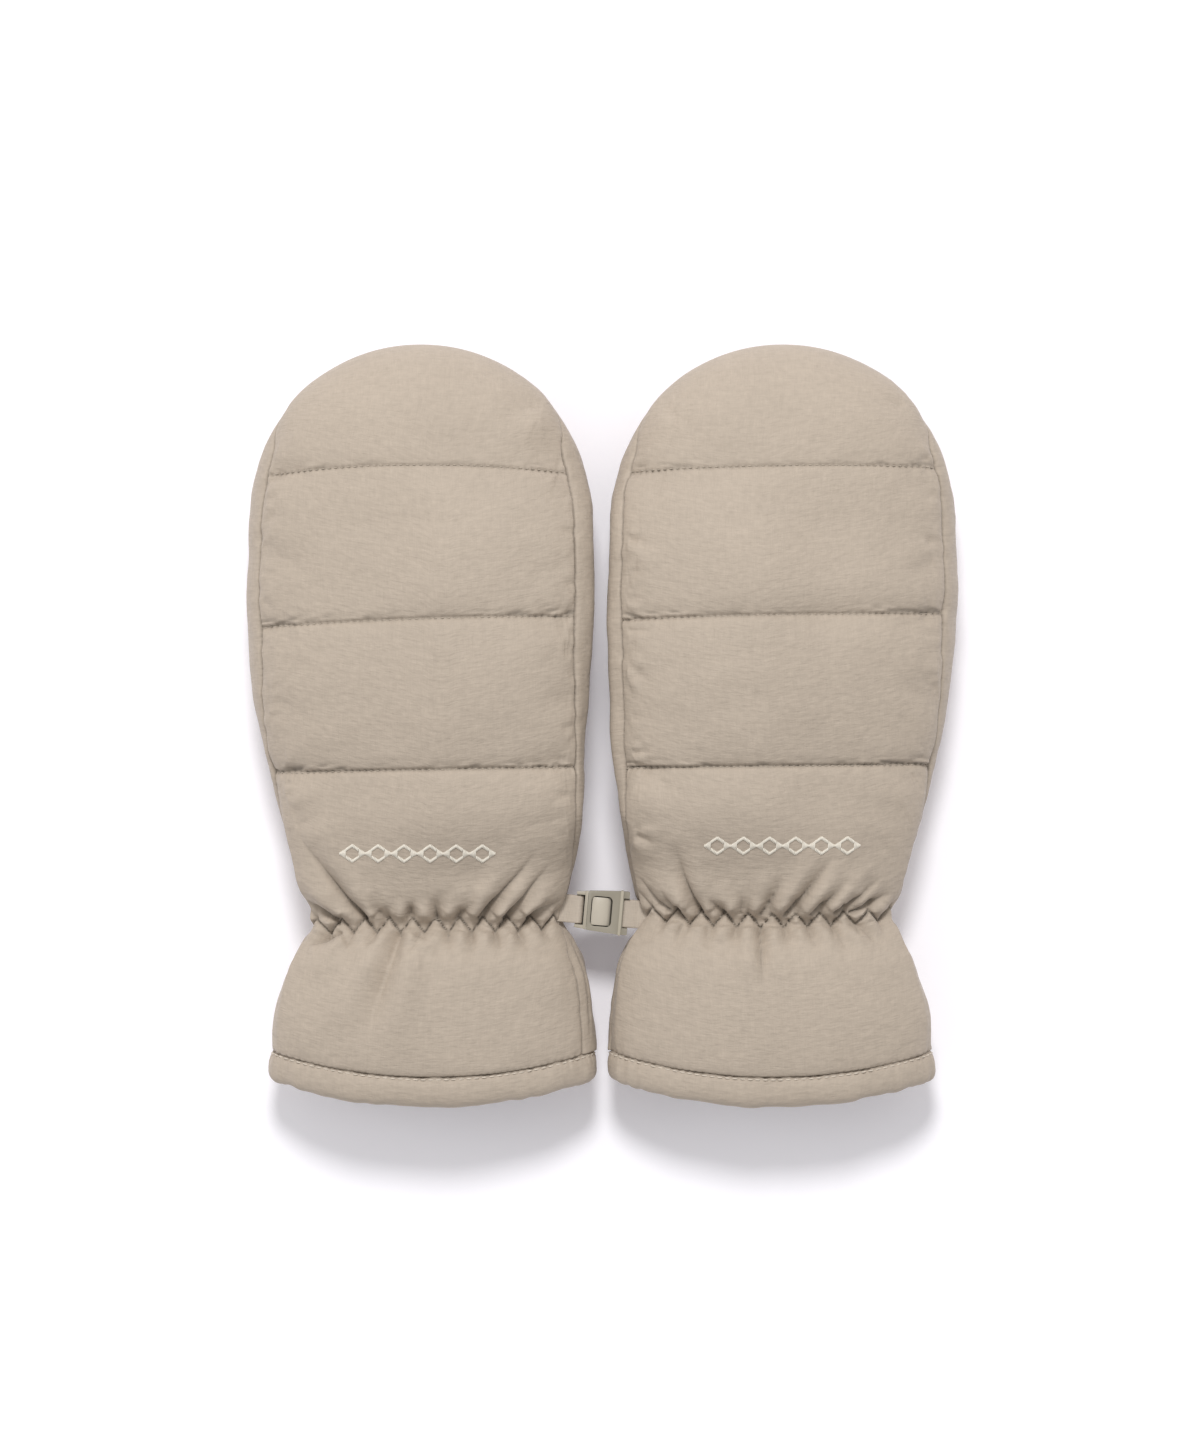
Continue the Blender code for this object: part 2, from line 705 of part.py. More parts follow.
def make_latch(plastic):
    """A spring tongue rooted at the plug's far end. Its raised free end is the push button."""
    profile = (
        (-0.0037, -0.0006),
        (-0.0037, 0.0028),
        (-0.0034, 0.0030),
        (-0.0005, 0.0030),
        (0.0014, 0.0027),
        (0.0030, 0.0016),
        (0.0036, 0.0004),
        (TONGUE_ROOT[0], 0.0002),
        (TONGUE_ROOT[0], -0.0009),
        (-0.0025, -0.0009),
    )
    mesh_data = bmesh.new()
    half = WINDOW_HALF_WIDTH - 0.0004
    sides = [
        [mesh_data.verts.new(buckle_frame() @ Vector((x, y, z))) for x, z in profile]
        for y in (-half, half)
    ]
    count = len(profile)
    for k in range(count):
        j = (k + 1) % count
        mesh_data.faces.new((sides[0][k], sides[0][j], sides[1][j], sides[1][k]))
    for side in sides:
        mesh_data.faces.new(side)
    return finish_mesh("buckle_latch", mesh_data, plastic)


def joint_empty(name, point):
    empty = bpy.data.objects.new(name, None)
    bpy.context.scene.collection.objects.link(empty)
    empty.location = point
    return empty


def hang_on(empty, pieces):
    """Parents pieces to the joint's empty, and leaves them where they are."""
    bpy.context.view_layer.update()
    for piece in pieces:
        piece.parent = empty
        piece.matrix_parent_inverse = empty.matrix_world.inverted()


def make_mitten(prefix, way, surfaces):
    """All pieces of one mitten: (the pieces that stay with the hand, the pieces of the thumb)."""
    maker = Maker(prefix, way)
    fabric, wadding, fleece = surfaces["fabric"], surfaces["wadding"], surfaces["fleece"]
    panels = make_panels(maker, fabric, wadding, fleece)
    base, tip = make_thumb(maker, fabric, wadding, fleece)
    hole = thumb_hole_cutter(maker)
    for name in ("palm", "palm_wadding", "palm_lining"):
        cut(panels[name], hole)
    for piece in base:
        cut(piece, hole)
    slot = slot_cutter(maker)
    for name in ("back", "gusset", "back_wadding", "palm_wadding"):
        cut(panels[name], slot)
    trim = [
        make_hem(maker, fabric),
        make_elastic(maker, surfaces["elastic"]),
        make_motif(maker, panels["back"], surfaces["embroidery"]),
        make_strap(maker, surfaces["webbing"]),
        *make_threads(maker, panels["back"], surfaces["thread"]),
    ]
    thumb_hinge = joint_empty(
        maker.named("thumb_hinge"), maker.place(Vector((THUMB_X, THUMB_HINGE_Y, THUMB_HINGE_Z)))
    )
    hang_on(thumb_hinge, tip)
    return [*panels.values(), *base, *trim, thumb_hinge, hole, slot]


def make_materials():
    return {
        "fabric": material("shell_fabric", FABRIC, 0.75),
        "wadding": material("padding_wadding", WADDING, 0.95),
        "fleece": material("lining_fleece", FLEECE, 0.95),
        "elastic": material("elastic_band", WADDING, 0.8),
        "webbing": material("strap_webbing", FABRIC, 0.7),
        "plastic": material("buckle_plastic", PLASTIC, 0.4),
        "thread": material("sewing_thread", THREAD, 0.6),
        "embroidery": material("embroidery_thread", EMBROIDERY, 0.5),
    }


def main():
    clear_scene()
    surfaces = make_materials()
    make_mitten("left", -1, surfaces)
    right = make_mitten("right", 1, surfaces)
    socket, plug, latch = make_buckle(surfaces["plastic"])
    frame = buckle_frame()
    plug_pivot = joint_empty("plug_pivot", frame @ Vector((-BAR_X, 0, 0)))
    socket_slide = joint_empty("socket_slide", frame @ Vector((0, 0, 0)))
    right_pivot = joint_empty("right_pivot", frame @ Vector((BAR_X, 0, 0)))
    latch_root = joint_empty(
        "latch_root", frame @ Vector((TONGUE_ROOT[0], 0, TONGUE_ROOT[1]))
    )
    hang_on(right_pivot, right)
    hang_on(latch_root, [latch])
    hang_on(socket_slide, [socket, right_pivot])
    hang_on(plug_pivot, [plug, latch_root, socket_slide])


main()
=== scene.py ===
"""Looks for a pair of quilted ski mittens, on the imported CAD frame. Metres, +Z up, fingertips at +Y."""

import math

import bmesh
import bpy
import numpy as np
from mathutils import Matrix, Vector
from mathutils.bvhtree import BVHTree


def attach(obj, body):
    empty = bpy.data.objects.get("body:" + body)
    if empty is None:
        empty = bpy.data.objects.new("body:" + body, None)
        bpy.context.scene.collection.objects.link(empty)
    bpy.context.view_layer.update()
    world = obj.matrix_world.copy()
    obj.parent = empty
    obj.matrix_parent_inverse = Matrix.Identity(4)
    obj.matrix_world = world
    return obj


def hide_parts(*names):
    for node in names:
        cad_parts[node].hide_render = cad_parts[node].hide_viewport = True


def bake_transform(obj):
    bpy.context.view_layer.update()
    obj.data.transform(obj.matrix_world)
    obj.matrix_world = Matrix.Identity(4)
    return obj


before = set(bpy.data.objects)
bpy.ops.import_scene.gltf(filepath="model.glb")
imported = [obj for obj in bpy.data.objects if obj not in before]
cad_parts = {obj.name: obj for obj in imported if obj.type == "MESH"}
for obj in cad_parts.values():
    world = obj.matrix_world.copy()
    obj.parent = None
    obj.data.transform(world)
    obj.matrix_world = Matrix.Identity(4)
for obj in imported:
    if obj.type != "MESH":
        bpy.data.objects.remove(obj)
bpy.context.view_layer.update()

# ---- the mitten's shape, as in the CAD: y = 0 on the wrist elastic
STATIONS = np.array([  # y, half width, middle x, back z, palm z, widest z
    (-0.058, 0.0588, 0.0605, 0.040, -0.0030, 0.020),
    (-0.036, 0.0572, 0.0598, 0.042, -0.0025, 0.020),
    (-0.018, 0.0532, 0.0588, 0.040, -0.0005, 0.019),
    (-0.008, 0.0490, 0.0586, 0.036, 0.0010, 0.018),
    (0.000, 0.0462, 0.0588, 0.034, 0.0020, 0.018),
    (0.012, 0.0482, 0.0592, 0.038, 0.0010, 0.019),
    (0.035, 0.0535, 0.0605, 0.045, -0.0020, 0.020),
    (0.075, 0.0596, 0.0638, 0.050, -0.0040, 0.021),
    (0.110, 0.0622, 0.0646, 0.051, -0.0040, 0.021),
    (0.139, 0.0615, 0.0647, 0.048, -0.0030, 0.020),
])
HEM_Y = -0.058
FOCUS_Y = 0.139
TIP_LENGTH = 0.066
TIP_DROP = 0.003
TIP_Y = FOCUS_Y + TIP_LENGTH
OUTLINE_POWER = 2.06
SECTION_POWER = 2.3
HEM_ARC = 0.0085
PALM_LIFT = 0.0225
ORIGIN_Y = (TIP_Y + HEM_Y - HEM_ARC) / 2
PALM_SEAM = -38.0

SEAM_SCALE = 0.00057  # metres of cloth for each degree round the mitten, near the seams
FINE_STEP = 0.00052  # between the back's rows of points, at the wrist and the quilting
COARSE_STEP = 0.0011  # between its other rows
BACK_COLUMNS = 250
GUSSET_COLUMNS = 34
TURN_IN = 0.0036  # depth of the panels' lower edges, inside the hem band
HEM_STITCH_Y = HEM_Y + 0.0110
LINING_DEPTH = 0.0070

# ---- sewing
QUILT_YS = (0.0535, 0.1061, 0.1585)
QUILT_DEPTHS = (1.0, 0.80, 0.45)
QUILT_PITCH = 0.0024
HEM_PITCH = 0.0027
HEM_TOPSTITCH = 0.0100  # above the cuff's edge
ZIGZAG_PITCH = 0.0084
ZIGZAG_RISE = 0.00245
ZIGZAG_STITCHES = 3  # on each leg
ZIGZAG_REACH = 0.94  # share of the wrist's half width
THREAD_RADIUS = 0.00024
FOLD_DEPTH = 1.7  # times the depth that SIDES gives a fold
SHARP = 0.0006  # width of a sharp fold's valley
SMALL_DENTS = 26
DIAMONDS = 6
DIAMOND_LENGTH = 0.0092
DIAMOND_HALF_HEIGHT = 0.0035
SATIN_PITCH = 0.00046
SATIN_BAND = 0.0014  # length of the stitches beside a diamond's open middle

# ---- thumb, folded flat under the palm
THUMB_X = 0.0310
THUMB_HALF_WIDTH = 0.0220
THUMB_MIDDLE_Y = 0.0860
THUMB_HALF_LENGTH = 0.0460
THUMB_HEIGHT = 0.0210
THUMB_HINGE_Y = 0.0780
HOLE_Y = 0.0590
HOLE_HALF = (0.0140, 0.0125)

# How each mitten lies, in the right mitten's own frame.
# inner_seams: where the back ends on the thumb's side, in degrees, over the hand and over the cuff.
# gusset_bulge: how far that side stands out, low on the hand and high on it.
# rows: how each row of quilting is moved up, bowed and tilted.
# gusset_folds: degrees past the seam, lowest y, highest y and depth of each.
# wrist: the elastic's height on the thumb's side, in the middle and on the other side.
# zigzag: x of one of its peaks. motif: middle of the embroidered mark.
# above, below: x where a fold leaves the zigzag, its lean outward in degrees, its length and depth.
SIDES = {
    "left": {
        "way": -1.0,
        "seed": 3,
        "inner_seams": (28.0, 24.0),
        "gusset_bulge": (-0.0012, -0.0002),
        "rows": ((-0.0006, 0.0002, -0.0012), (-0.0009, 0.0012, -0.0021), (-0.0011, 0.0034, -0.0003)),
        "gusset_folds": (
            (8, -0.044, -0.006, 0.0011), (17, -0.034, -0.010, 0.0016), (26, -0.050, -0.004, 0.0012),
        ),
        "wrist": (-0.0008, -0.0018, -0.0026),
        "zigzag": 0.0588,
        "motif": (0.0652, 0.0236),
        "above": (
            (0.0832, 42, 0.040, 0.0021), (0.0938, 56, 0.016, 0.0020), (0.0765, 41, 0.012, 0.0012),
            (0.0690, -20, 0.008, 0.0014), (0.0585, 12, 0.009, 0.0015), (0.0524, -50, 0.013, 0.0011),
            (0.0441, -39, 0.034, 0.0022), (0.0351, -38, 0.027, 0.0022), (0.0269, -58, 0.014, 0.0017),
        ),
        "below": (
            (0.0923, 67, 0.015, 0.0020), (0.0712, 19, 0.048, 0.0026), (0.0645, 20, 0.010, 0.0012),
            (0.0546, -6, 0.007, 0.0008), (0.0464, 0, 0.014, 0.0008), (0.0380, -14, 0.008, 0.0008),
            (0.0300, -24, 0.010, 0.0009), (0.0800, 30, 0.008, 0.0008),
        ),
    },
    "right": {
        "way": 1.0,
        "seed": 8,
        "inner_seams": (21.0, 4.0),
        "gusset_bulge": (0.0022, 0.0003),
        "rows": ((0.0007, 0.0002, 0.0006), (0.0009, 0.0009, 0.0012), (0.0010, 0.0011, 0.0008)),
        "gusset_folds": ((10, -0.030, -0.008, 0.0007), (20, -0.046, -0.016, 0.0008)),
        "wrist": (0.0026, -0.0003, 0.0022),
        "zigzag": 0.0604,
        "motif": (0.0636, 0.0264),
        "above": (
            (0.0358, -30, 0.029, 0.0019), (0.0247, -50, 0.017, 0.0018), (0.0280, -42, 0.012, 0.0013),
            (0.0436, -43, 0.011, 0.0014), (0.0493, 8, 0.009, 0.0012), (0.0559, 40, 0.018, 0.0016),
            (0.0649, 43, 0.030, 0.0021), (0.0735, 50, 0.022, 0.0018), (0.0821, 54, 0.024, 0.0022),
            (0.0875, 66, 0.018, 0.0026),
        ),
        "below": (
            (0.0559, 2, 0.024, 0.0017), (0.0374, 0, 0.011, 0.0008), (0.0735, 14, 0.010, 0.0008),
            (0.0650, 6, 0.007, 0.0007), (0.0470, -8, 0.008, 0.0008), (0.0820, 24, 0.012, 0.0010),
            (0.0290, -22, 0.010, 0.0009), (0.0905, 40, 0.012, 0.0010),
        ),
    },
}


def smooth(t):
    """Eases from 0 to 1 as t runs from 0 to 1."""
    t = np.clip(t, 0.0, 1.0)
    return t * t * (3 - 2 * t)


def bell(d, width):
    return np.exp(-((d / width) ** 2))


def decay(d, width):
    return np.exp(-np.abs(d) / width)


def signed(v, power):
    """A power of v's size, with v's sign."""
    return np.sign(v) * np.abs(v) ** power


def rounded(share, power):
    """Falls from 1 to 0 along a rounded end, as share runs from 0 to 1."""
    return (1 - share**power) ** (1 / power)


def unit(v):
    return v / np.linalg.norm(v, axis=-1, keepdims=True)


def station(y):
    """Half width, middle x, back z, palm z and widest z at each y, with the round tip above FOCUS_Y."""
    y = np.asarray(y, float)
    knots, values = STATIONS[:, 0], STATIONS[:, 1:]
    inside = np.clip(y, knots[0], knots[-1])
    i = np.clip(np.searchsorted(knots, inside, side="right") - 1, 0, len(knots) - 2)
    before, after = np.maximum(i - 1, 0), np.minimum(i + 2, len(knots) - 1)
    span = (knots[i + 1] - knots[i])[..., None]
    t = (inside - knots[i])[..., None] / span
    a, b = values[i], values[i + 1]
    start = (b - values[before]) / (knots[i + 1] - knots[before])[..., None] * span
    end = (values[after] - a) / (knots[after] - knots[i])[..., None] * span
    out = (2 * t**3 - 3 * t**2 + 1) * a + (t**3 - 2 * t**2 + t) * start
    out = out + (3 * t**2 - 2 * t**3) * b + (t**3 - t**2) * end
    half, middle, back, palm, widest = np.moveaxis(out, -1, 0)
    rise = np.clip((y - FOCUS_Y) / TIP_LENGTH, 0, 1)
    narrow, low = rounded(rise, OUTLINE_POWER), rounded(rise, SECTION_POWER)
    drop = TIP_DROP * rise**2
    return (half * narrow, middle, widest - drop + (back - widest) * low,
            widest - drop - (widest - palm) * low, widest - drop)


def widths(y):
    """Half width and middle x at one y."""
    return (float(v) for v in station(y)[:2])


WRIST_HALF, WRIST_MIDDLE = widths(0.0)


def seam_angles(side, y):
    """Where the back panel ends, in degrees above the widest line: (on the thumb's side, on the other side).
    Both seams run out of sight over the fingertips."""
    y = np.asarray(y, float)
    hand, cuff = SIDES[side]["inner_seams"]
    inner = np.interp(y, (-0.046, -0.012, 0.0, 0.012, 0.053, 0.092),
                      (cuff, cuff, 9.0, 11.0, 0.75 * hand, hand))
    outer = np.interp(y, (-0.046, 0.0, 0.030, 0.050, 0.092), (-3.0, -2.0, 0.0, 12.0, 24.0))
    sink = smooth((y - 0.164) / 0.030)
    return inner - (inner + 14) * sink, outer - (outer + 14) * sink


def palm_lift(x, y):
    across = 1 - smooth((x - 0.053) / 0.030)
    along = smooth((y - 0.014) / 0.026) * (1 - smooth((y - 0.131) / 0.036))
    return PALM_LIFT * across * along


def quilt_bow(rows, y, outward, sin):
    """How far each point of the back moves up the mitten, so that its rows of quilting lie as in SIDES."""
    shift, rise, tilt = (np.interp(y, (0.0, *QUILT_YS, 0.2), (0.0, *values, 0.0)) for values in zip(*rows))
    return smooth(sin / 0.4) * (shift + rise * np.clip(1 - outward**2, 0, 1) + tilt * outward)


def skin(y, angle, depth=0.0, rows=None):
    """Points of the skin. angle runs all the way round: 0 is the little finger's side, 90 the back and
    180 the thumb's side. rows are a side's rows of quilting."""
    y, angle = np.broadcast_arrays(np.asarray(y, float), np.asarray(angle, float))
    half, middle, back, palm, widest = station(y)
    radians = np.radians(angle)
    cos, sin = np.cos(radians), np.sin(radians)
    outward = signed(cos, 2 / SECTION_POWER)
    upward = np.abs(sin) ** (2 / SECTION_POWER)
    keep = np.clip(1 - depth / np.maximum(half, 1e-4), 0, 1)
    x = middle + half * outward * keep
    surface_x = middle + half * outward
    height = np.where(sin >= 0, back - widest, palm - widest)
    surface_z = np.maximum(widest + height * upward, 0)
    z = widest + (height - np.sign(height) * np.minimum(depth, np.abs(height))) * upward
    lift = palm_lift(surface_x, y) * (1 - 0.8 * np.clip(surface_z / np.maximum(back, 1e-4), 0, 1))
    arc = np.where(sin > 0, HEM_ARC * np.clip(1 - outward**2, 0, 1) * smooth((-0.012 - y) / 0.034), 0)
    bow = quilt_bow(rows, y, outward, sin) if rows else 0
    return np.stack((x, y - arc + bow, np.maximum(z, depth) + lift), axis=-1)


TIP = skin(TIP_Y, 0.0)


def to_scene(points, side):
    """From the right mitten's own frame to the scene, mirrored for the left mitten."""
    out = np.array(points, float)
    out[..., 0] *= SIDES[side]["way"]
    out[..., 1] -= ORIGIN_Y
    return out


# ---- noise
NOISE_TABLE = np.random.RandomState(11).uniform(-1, 1, 8192)


def lattice(ix, iy, iz, seed):
    h = ix.astype(np.int64) * 73856093 ^ iy.astype(np.int64) * 19349663 ^ iz.astype(np.int64) * 83492791
    return NOISE_TABLE[(h + seed * 7919) & 8191]


def value_noise(x, y, z=0.0, seed=0):
    """Smooth noise from -1 to 1 on a lattice of unit cells."""
    x, y, z = np.broadcast_arrays(np.asarray(x, float), np.asarray(y, float), np.asarray(z, float))
    ix, iy, iz = np.floor(x), np.floor(y), np.floor(z)
    fx, fy, fz = (t * t * t * (t * (t * 6 - 15) + 10) for t in (x - ix, y - iy, z - iz))
    out = 0
    for a in (0, 1):
        for b in (0, 1):
            for c in (0, 1):
                weight = (fx if a else 1 - fx) * (fy if b else 1 - fy) * (fz if c else 1 - fz)
                out = out + weight * lattice(ix + a, iy + b, iz + c, seed)
    return out


def lumps(points, size, seed):
    """Smooth noise in space, with lumps of about the given size."""
    p = points / size
    return value_noise(p[..., 0] + 31.4, p[..., 1] - 12.7, p[..., 2] + 5.3, seed)


# ---- meshes
def add_object(name, data):
    made = bpy.data.objects.new(name, data)
    bpy.context.scene.collection.objects.link(made)
    return made


def mesh_object(name, points, faces, uvs=None, material=None):
    mesh = bpy.data.meshes.new(name)
    mesh.from_pydata([tuple(p) for p in points], [], [tuple(int(i) for i in f) for f in faces])
    if uvs is not None:
        layer = mesh.uv_layers.new(name="cloth")
        index = np.empty(len(mesh.loops), np.int32)
        mesh.loops.foreach_get("vertex_index", index)
        layer.data.foreach_set("uv", np.asarray(uvs, np.float32)[index].reshape(-1))
    mesh.update()
    mesh.shade_smooth()
    if material:
        mesh.materials.append(material)
    return add_object(name, mesh)


def set_values(mesh, label, values):
    """Gives each vertex a number that the material reads by its label."""
    layer = mesh.attributes.new(label, "FLOAT", "POINT")
    layer.data.foreach_set("value", np.asarray(values, np.float32).reshape(-1))


def turned(faces):
    return [f[::-1] for f in faces]


def grid_faces(rows, columns, ring=False):
    faces = []
    for i in range(rows - 1):
        for j in range(columns if ring else columns - 1):
            k = (j + 1) % columns
            faces.append((i * columns + j, (i + 1) * columns + j, (i + 1) * columns + k, i * columns + k))
    return faces


def tube_faces(rows, columns):
    """A grid whose rows are rings, with one face over each end."""
    last = (rows - 1) * columns
    ends = [tuple(range(columns)), tuple(reversed(range(last, last + columns)))]
    return grid_faces(rows, columns, ring=True) + ends


def close_end(points, faces, row, columns, pole, ring=False, inward=False):
    """Adds a pole to a grid of points, with a fan of triangles between it and the first or last row."""
    places = [row * columns + j for j in range(columns)]
    places += places[:1] if ring else []
    fan = [(a, len(points), b) for a, b in zip(places, places[1:])]
    return np.vstack((points, pole)), faces + (turned(fan) if inward else fan)


def pairs(u, v):
    """A flat list of u, v pairs from two grids."""
    return np.stack((u, v), axis=-1).reshape(-1, 2)


def running_length(points, axis):
    """Distance along a row or a column of points from its first one."""
    steps = np.diff(points, axis=axis, prepend=points.take([0], axis))
    return np.cumsum(np.linalg.norm(steps, axis=-1), axis=axis)


def grid_normals(points, ring=False):
    """Unit normals of a grid. They point outward where rows run up the mitten and columns run over the back
    from the thumb's side, and inward where the columns run the other way."""
    up_row = np.gradient(points, axis=0)
    if ring:
        along = (np.roll(points, -1, axis=1) - np.roll(points, 1, axis=1)) / 2
    else:
        along = np.gradient(points, axis=1)
    normal = np.cross(along, up_row)
    return normal / np.maximum(np.linalg.norm(normal, axis=-1, keepdims=True), 1e-12)


def rows_between(marks, steps):
    """Row positions that hit each mark, with about the given step after each one."""
    out = [marks[0]]
    for a, b, step in zip(marks, marks[1:], steps):
        count = max(1, round((b - a) / step))
        out += [a + (b - a) * k / count for k in range(1, count + 1)]
    return np.array(out)


def shell_rows(fine, coarse):
    """Rows from the hem's stitching to the fingertips, close together at the wrist and the quilting."""
    near = 0.006
    marks, steps = [HEM_STITCH_Y, HEM_STITCH_Y + near, -0.024, 0.036], [fine, coarse, fine]
    for y in QUILT_YS[:2]:
        marks += [y - near, y, y + near]
        steps += [coarse, fine, fine]
    marks.append(FOCUS_Y)
    steps.append(coarse)
    straight = rows_between(marks, steps)

    def turn(y):
        return math.asin(((y - FOCUS_Y) / TIP_LENGTH) ** (OUTLINE_POWER / 2))

    third = QUILT_YS[2]
    turns = rows_between(
        (turn(FOCUS_Y + 0.002), turn(third - near), turn(third), turn(third + near), math.radians(89.6)),
        [s / TIP_LENGTH for s in (coarse, fine, fine, coarse)])
    tip = FOCUS_Y + TIP_LENGTH * np.sin(turns) ** (2 / OUTLINE_POWER)
    return np.concatenate((straight, tip))


def over_back(side, ys, count_back, count_side):
    """Angles of the back and both gussets for each row: from the palm seam on the thumb's side, over the
    back, to the palm seam on the other side. They are closest together at the back's seams."""
    inner, outer = (a[:, None] for a in seam_angles(side, ys))
    share = np.linspace(0, 1, count_side + 1)[None, :] ** 1.8
    even = np.linspace(0, 1, count_back + 1)[None, :]
    over = even - 0.38 * np.sin(2 * math.pi * even) / (2 * math.pi)
    thumb_side = (180 - PALM_SEAM) + (PALM_SEAM - inner) * (1 - share[:, ::-1])
    back = (180 - inner) + (outer + inner - 180) * over
    finger_side = outer + (PALM_SEAM - outer) * share
    return np.concatenate((thumb_side[:, :-1], back, finger_side[:, 1:]), axis=1)


# ---- folds and sewing
def wrist_line(side, x):
    """Height of the elastic's middle line at x, and of the zigzag that is sewn over it."""
    ends = SIDES[side]["wrist"]
    share = np.clip((x - WRIST_MIDDLE) / WRIST_HALF, -1, 1)
    line = ends[1] + np.where(share < 0, ends[0] - ends[1], ends[2] - ends[1]) * share**2
    phase = (x - SIDES[side]["zigzag"]) / ZIGZAG_PITCH
    rise = 4 * np.abs(phase - np.floor(phase) - 0.5) - 1
    return line, line + ZIGZAG_RISE * rise


def crease(x, y, start, lean, length, depth, bend, width, soft):
    """A fold that runs from start, leaning by lean radians from straight up: a valley between two rolls. It
    is steeper on one side, bends as it goes and fades out. A lean past pi / 2 makes it run down. Returns its
    height and the painted shade at its bottom, which is 0 unless the fold is sharp."""
    dx, dy = math.sin(lean), math.cos(lean)
    x, y = x - start[0], y - start[1]
    along = x * dx + y * dy
    t = np.clip(along / length, 0, 1)
    across = x * dy - y * dx - bend * length * t**2
    deep = depth * smooth(along / 0.0012 + 0.6) * (1 - smooth((along / length - 0.30) / 0.75))
    valley = decay(across, np.where(across > 0, width, width * 2.4) * (1 + 1.3 * t))
    roll = soft * (1 + 0.9 * t)
    rolls = 0.55 * (bell(across - roll * 1.3, roll) + bell(across + roll * 1.3, roll))
    return deep * (rolls - valley), (width == SHARP) * deep * bell(across, 0.0005)


def wrist_relief(side, x, y):
    """The cloth gathered by the elastic: (its height, the painted shade in its creases)."""
    line, zigzag = wrist_line(side, x)
    from_line, from_zigzag = y - line, y - zigzag
    out = 0.0028 * decay(from_line, 0.030) * smooth(np.abs(from_line) / 0.016)
    fall = np.where(from_zigzag > 0, 0.0028, 0.0012)
    out = out - 0.0020 * decay(from_zigzag, fall) - 0.0006 * bell(from_zigzag, 0.0006)
    out -= 0.0008 * decay(from_line, 0.004)
    shade = 0
    for fold in wrist_folds(side):
        height, dark = crease(x, y, *fold)
        out += height
        shade = shade + dark
    ridges = 1 - 2 * np.abs(value_noise(x / 0.0052 + 3, y / 0.0068, 0, SIDES[side]["seed"] + 60))
    out += 0.00055 * ridges * decay(from_line, 0.010) * smooth(np.abs(from_zigzag) / 0.002)
    return out, shade


def wrist_folds(side):
    """Every fold at the elastic, as crease() takes them: those in SIDES and a short pair at each peak."""
    random = np.random.RandomState(SIDES[side]["seed"])

    def line(x):
        return float(wrist_line(side, x)[0])

    out = []
    for start, lean, length, depth in SIDES[side]["above"]:
        bend = 0.12 * random.uniform(-1, 1) - 0.10 * math.copysign(1, lean)
        place, up = (start, line(start) + 0.8 * ZIGZAG_RISE), math.radians(lean)
        out.append((place, up, length, FOLD_DEPTH * depth, bend, SHARP, 0.0017 + 0.03 * length))
    for start, lean, length, depth in SIDES[side]["below"]:
        wide = SHARP if length < 0.03 else 4 * SHARP
        place, down = (start, line(start) - 1.2 * ZIGZAG_RISE), math.pi - math.radians(lean)
        out.append((place, down, length, FOLD_DEPTH * depth, 0.0, wide, 0.0017 + 0.05 * length))
    zigzag = SIDES[side]["zigzag"]
    first = math.ceil((WRIST_MIDDLE - WRIST_HALF - zigzag) / ZIGZAG_PITCH)
    for k in range(first, first + int(2 * WRIST_HALF / ZIGZAG_PITCH) + 1):
        peak = zigzag + k * ZIGZAG_PITCH
        spread = (peak - WRIST_MIDDLE) / WRIST_HALF
        jitter = random.uniform(-1, 1, 6)
        top = (peak, line(peak) + ZIGZAG_RISE)
        low = (peak + ZIGZAG_PITCH / 2, line(peak) - ZIGZAG_RISE)
        up = math.radians(44 * spread + 12 * jitter[0])
        down = math.pi - math.radians(22 * spread + 10 * jitter[1])
        out.append((top, up, 0.0085 + 0.003 * jitter[2], 0.0013 + 0.0004 * jitter[3], 0, SHARP, 0.0021))
        out.append((low, down, 0.0070 + 0.002 * jitter[4], 0.0010 + 0.0003 * jitter[5], 0, SHARP, 0.0021))
    return out


def dents(side):
    """Dents of the padding that run in from the sewn edges, soft or sharp, as crease() takes them."""
    random = np.random.RandomState(SIDES[side]["seed"] + 50)

    def dent(y, edge, share, leans, lengths, depths, width, soft):
        half, middle = widths(y)
        lean = -edge * math.radians(random.uniform(*leans))
        length, depth, bend = (random.uniform(*limits) for limits in (lengths, depths, (-0.3, 0.3)))
        return (middle + edge * half * share, y), lean, length, depth, bend, width, soft

    out = []
    for y in (*QUILT_YS, 0.035, 0.080, 0.130, 0.182):
        for edge in (-1, -1, 1, 1):
            place, share = y + random.uniform(-0.004, 0.004), random.uniform(0.82, 0.92)
            out.append(dent(place, edge, share, (48, 132), (0.010, 0.026), (0.0003, 0.0008), 0.0022, 0.005))
    for _ in range(SMALL_DENTS):
        place, edge = random.uniform(0.030, 0.165), random.choice((-1, 1))
        out.append(dent(place, edge, 0.895, (62, 118), (0.004, 0.009), (0.0005, 0.0009), SHARP, 0.0016))
    return out


def stitch_dimples(t):
    """1 at each needle hole along a seam, 0 between them."""
    phase = t / QUILT_PITCH
    return bell((phase - np.round(phase)) * QUILT_PITCH, 0.0005)


def row_wrinkles(x, d, share, number, seed):
    """Short slanted wrinkles of the loose cloth just above a row of quilting, most of them near its ends."""
    ends = 0.30 + 0.70 * smooth((np.abs(share) - 0.35) / 0.45)
    above = smooth(d / 0.0005) * bell(np.maximum(d - 0.0004, 0), 0.0016)
    return ends * above * value_noise((x + 1.6 * d) / 0.0040 + 9 * number, d / 0.0011, 0, seed + 40 + number)


